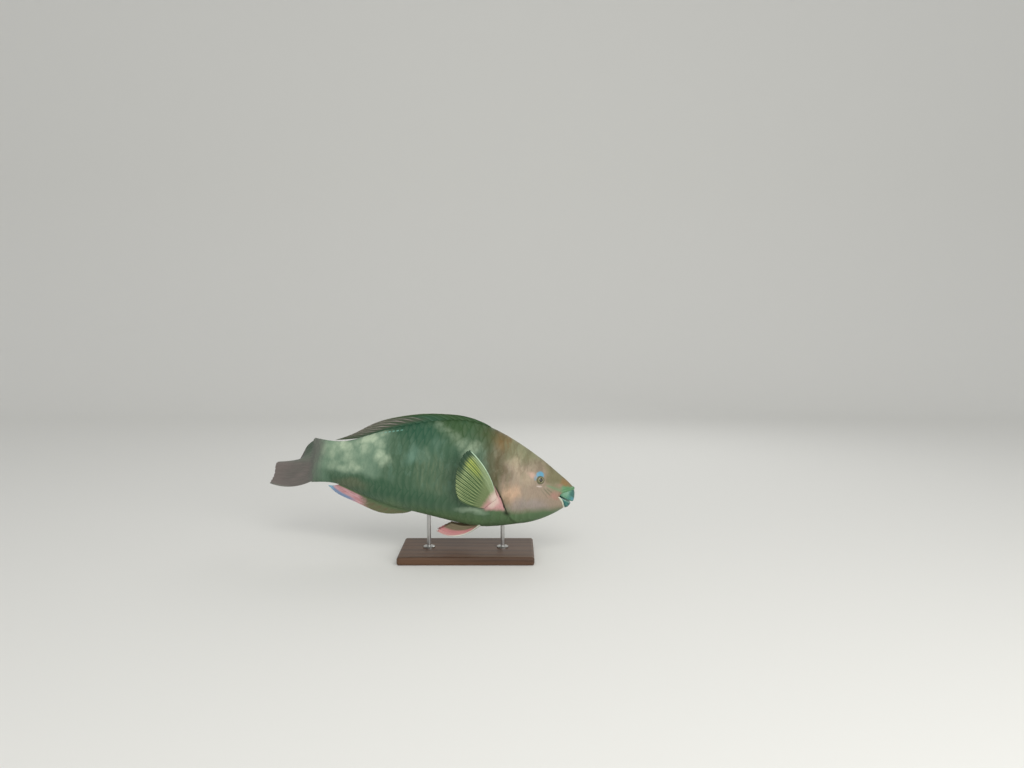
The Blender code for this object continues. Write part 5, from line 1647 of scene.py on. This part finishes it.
SWEEP_START, SWEEP_RADIUS, SWEEP_TOP = 2.4, 1.4, 4.0
FLOOR_FRONT, FLOOR_SIDE = -5.0, 6.0


def make_floor(settings):
    """A floor that curves up into a backdrop."""
    turns = np.linspace(0, math.pi / 2, 24)
    rise = [(FLOOR_FRONT, 0.0)]
    rise += [(SWEEP_START + SWEEP_RADIUS * math.sin(t), SWEEP_RADIUS * (1 - math.cos(t))) for t in turns]
    rise.append((SWEEP_START + SWEEP_RADIUS, SWEEP_TOP))
    points = np.array([[(x, y, z) for x in (-FLOOR_SIDE, FLOOR_SIDE)] for y, z in rise])
    quads, _ = grid_faces(len(rise), 2, False)
    mesh = bpy.data.meshes.new("floor")
    mesh.from_pydata(points.reshape(-1, 3).tolist(), [], quads[:, ::-1].tolist())
    mesh.materials.append(floor_material(settings))
    mesh.shade_smooth()
    add_object("floor", mesh)


def make_stage(settings):
    make_floor(settings)
    for name, setting, at, size, tint in LIGHTS:
        area_light(name, getattr(settings, setting), at, size, tint)
    world = bpy.data.worlds.new("studio")
    world.use_nodes = True
    background = world.node_tree.nodes["Background"]
    background.inputs["Color"].default_value = (1.0, 1.0, 1.0, 1.0)
    background.inputs["Strength"].default_value = settings.sky
    bpy.context.scene.world = world
    data = bpy.data.cameras.new("camera")
    data.lens, data.sensor_width = CAMERA_LENS, SENSOR_WIDTH
    camera = add_object("camera", data)
    camera.location = CAMERA_AT
    camera.rotation_euler = (math.pi / 2 - CAMERA_DOWN, 0.0, 0.0)
    bpy.context.scene.camera = camera
    bpy.context.scene.view_settings.view_transform = "Standard"


# Operators


class PARROTFISH_OT_skin(bpy.types.Operator):
    """Makes the skin over head, trunk and tail stalk"""

    bl_idname = "parrotfish.skin"
    bl_label = "Skin"

    def execute(self, context):
        make_skin(context.scene.parrotfish_colours)
        return {"FINISHED"}


class PARROTFISH_OT_scales(bpy.types.Operator):
    """Lays the scales of both sides over the skin"""

    bl_idname = "parrotfish.scales"
    bl_label = "Scales"

    def execute(self, context):
        look = scale_material(context.scene.parrotfish_colours)
        for side, word in SIDES:
            coat = Coat(side, context.scene.parrotfish_coat)
            coat.lay()
            coat.surface.piece(f"scales_{word}", look, "skin", sharp=SCALE_SHARP)
        return {"FINISHED"}


class PARROTFISH_OT_eyes(bpy.types.Operator):
    """Makes the two eyes"""

    bl_idname = "parrotfish.eyes"
    bl_label = "Eyes"

    def execute(self, context):
        look = eye_material(context.scene.parrotfish_beak)
        for side, word in SIDES:
            make_eye(side, word, look)
        return {"FINISHED"}


class PARROTFISH_OT_beak(bpy.types.Operator):
    """Makes the two beak plates"""

    bl_idname = "parrotfish.beak"
    bl_label = "Beak"

    def execute(self, context):
        c = context.scene.parrotfish_beak
        make_plate("beak_upper", UPPER_PLATE, -1, beak_material("upper plate", c, True))
        make_plate("beak_lower", LOWER_PLATE, 1, beak_material("lower plate", c, False))
        return {"FINISHED"}


class PARROTFISH_OT_dorsal_fin(bpy.types.Operator):
    """Makes the dorsal fin"""

    bl_idname = "parrotfish.dorsal_fin"
    bl_label = "Dorsal fin"

    def execute(self, context):
        scene = context.scene
        look = dorsal_material(scene.parrotfish_fins, scene.parrotfish_colours)
        make_fin(
            "dorsal_web", "dorsal_fin", dorsal_point, DORSAL_RAYS, look, DORSAL_HALVES,
            spines=DORSAL_SPINES, per_ray=14, rows=36, seed=3,
        )
        return {"FINISHED"}


class PARROTFISH_OT_anal_fin(bpy.types.Operator):
    """Makes the anal fin"""

    bl_idname = "parrotfish.anal_fin"
    bl_label = "Anal fin"

    def execute(self, context):
        scene = context.scene
        look = anal_material(scene.parrotfish_fins, scene.parrotfish_colours)
        make_fin(
            "anal_web", "anal_fin", anal_point, ANAL_RAYS, look, ANAL_HALVES,
            spines=ANAL_SPINES, per_ray=14, rows=36, seed=4,
        )
        return {"FINISHED"}


class PARROTFISH_OT_caudal_fin(bpy.types.Operator):
    """Makes the tail fin"""

    bl_idname = "parrotfish.caudal_fin"
    bl_label = "Tail fin"

    def execute(self, context):
        scene = context.scene
        look = caudal_material(scene.parrotfish_fins, scene.parrotfish_colours)

        def flesh(u):
            across = 2 * u / (CAUDAL_RAYS - 1) - 1
            return mix(*CAUDAL_FLESH, np.sqrt(np.clip(1 - across**2, 0, 1)))

        make_fin(
            "caudal_web", "caudal_fin", caudal_point, CAUDAL_RAYS, look, CAUDAL_HALVES,
            per_ray=16, rows=72, root=(flesh, CAUDAL_FLESH_SHARE), seed=5,
        )
        return {"FINISHED"}


class PARROTFISH_OT_pectoral_fins(bpy.types.Operator):
    """Makes the two pectoral fins"""

    bl_idname = "parrotfish.pectoral_fins"
    bl_label = "Pectoral fins"

    def execute(self, context):
        look = pectoral_material(context.scene.parrotfish_fins)
        for side, word in SIDES:
            make_fin(
                f"pectoral_web_{word}", f"pectoral_fin_{word}", pectoral_point(side), PECTORAL_RAYS, look,
                PECTORAL_HALVES, root=(lambda u: PECTORAL_FLESH, FLESH_SHARE), seed=6,
            )
        return {"FINISHED"}


class PARROTFISH_OT_pelvic_fins(bpy.types.Operator):
    """Makes the two pelvic fins"""

    bl_idname = "parrotfish.pelvic_fins"
    bl_label = "Pelvic fins"

    def execute(self, context):
        look = pelvic_material(context.scene.parrotfish_fins)
        for side, word in SIDES:
            make_fin(
                f"pelvic_web_{word}", f"pelvic_fin_{word}", pelvic_point(side), PELVIC_RAYS, look,
                PELVIC_HALVES, per_ray=20, rows=44, root=(lambda u: PELVIC_FLESH, FLESH_SHARE), seed=7,
            )
        return {"FINISHED"}


class PARROTFISH_OT_stand(bpy.types.Operator):
    """Finishes the stand's base and rods"""

    bl_idname = "parrotfish.stand"
    bl_label = "Stand"

    def execute(self, context):
        c = context.scene.parrotfish_stand
        wood, steel = wood_material(c), steel_material(c)
        for name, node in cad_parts.items():
            if name.startswith("stand_"):
                node.material_slots[0].material = wood if name == "stand_base" else steel
        return {"FINISHED"}


class PARROTFISH_OT_stage(bpy.types.Operator):
    """Adds floor, lights and camera"""

    bl_idname = "parrotfish.stage"
    bl_label = "Stage"

    def execute(self, context):
        make_stage(context.scene.parrotfish_stage)
        return {"FINISHED"}


STEPS = (
    PARROTFISH_OT_skin, PARROTFISH_OT_scales, PARROTFISH_OT_eyes, PARROTFISH_OT_beak,
    PARROTFISH_OT_dorsal_fin, PARROTFISH_OT_anal_fin, PARROTFISH_OT_caudal_fin,
    PARROTFISH_OT_pectoral_fins, PARROTFISH_OT_pelvic_fins, PARROTFISH_OT_stand, PARROTFISH_OT_stage,
)
SETTINGS = {
    "parrotfish_colours": FishColours,
    "parrotfish_coat": CoatSettings,
    "parrotfish_fins": FinColours,
    "parrotfish_beak": BeakColours,
    "parrotfish_stand": StandColours,
    "parrotfish_stage": StageSettings,
}


class PARROTFISH_PT_panel(bpy.types.Panel):
    """Lists the steps that build the model."""

    bl_idname = "PARROTFISH_PT_panel"
    bl_label = "Parrotfish"
    bl_space_type = "VIEW_3D"
    bl_region_type = "UI"
    bl_category = "Parrotfish"

    def draw(self, context):
        for step in STEPS:
            self.layout.operator(step.bl_idname)


def register():
    for cls in (*SETTINGS.values(), *STEPS, PARROTFISH_PT_panel):
        bpy.utils.register_class(cls)
    for name, group in SETTINGS.items():
        setattr(bpy.types.Scene, name, bpy.props.PointerProperty(type=group))


def unregister():
    for name in SETTINGS:
        delattr(bpy.types.Scene, name)
    for cls in (PARROTFISH_PT_panel, *reversed(STEPS), *reversed(SETTINGS.values())):
        bpy.utils.unregister_class(cls)


def main():
    register()
    for step in STEPS:
        group, name = step.bl_idname.split(".")
        getattr(getattr(bpy.ops, group), name)()


if __name__ == "__main__":
    main()
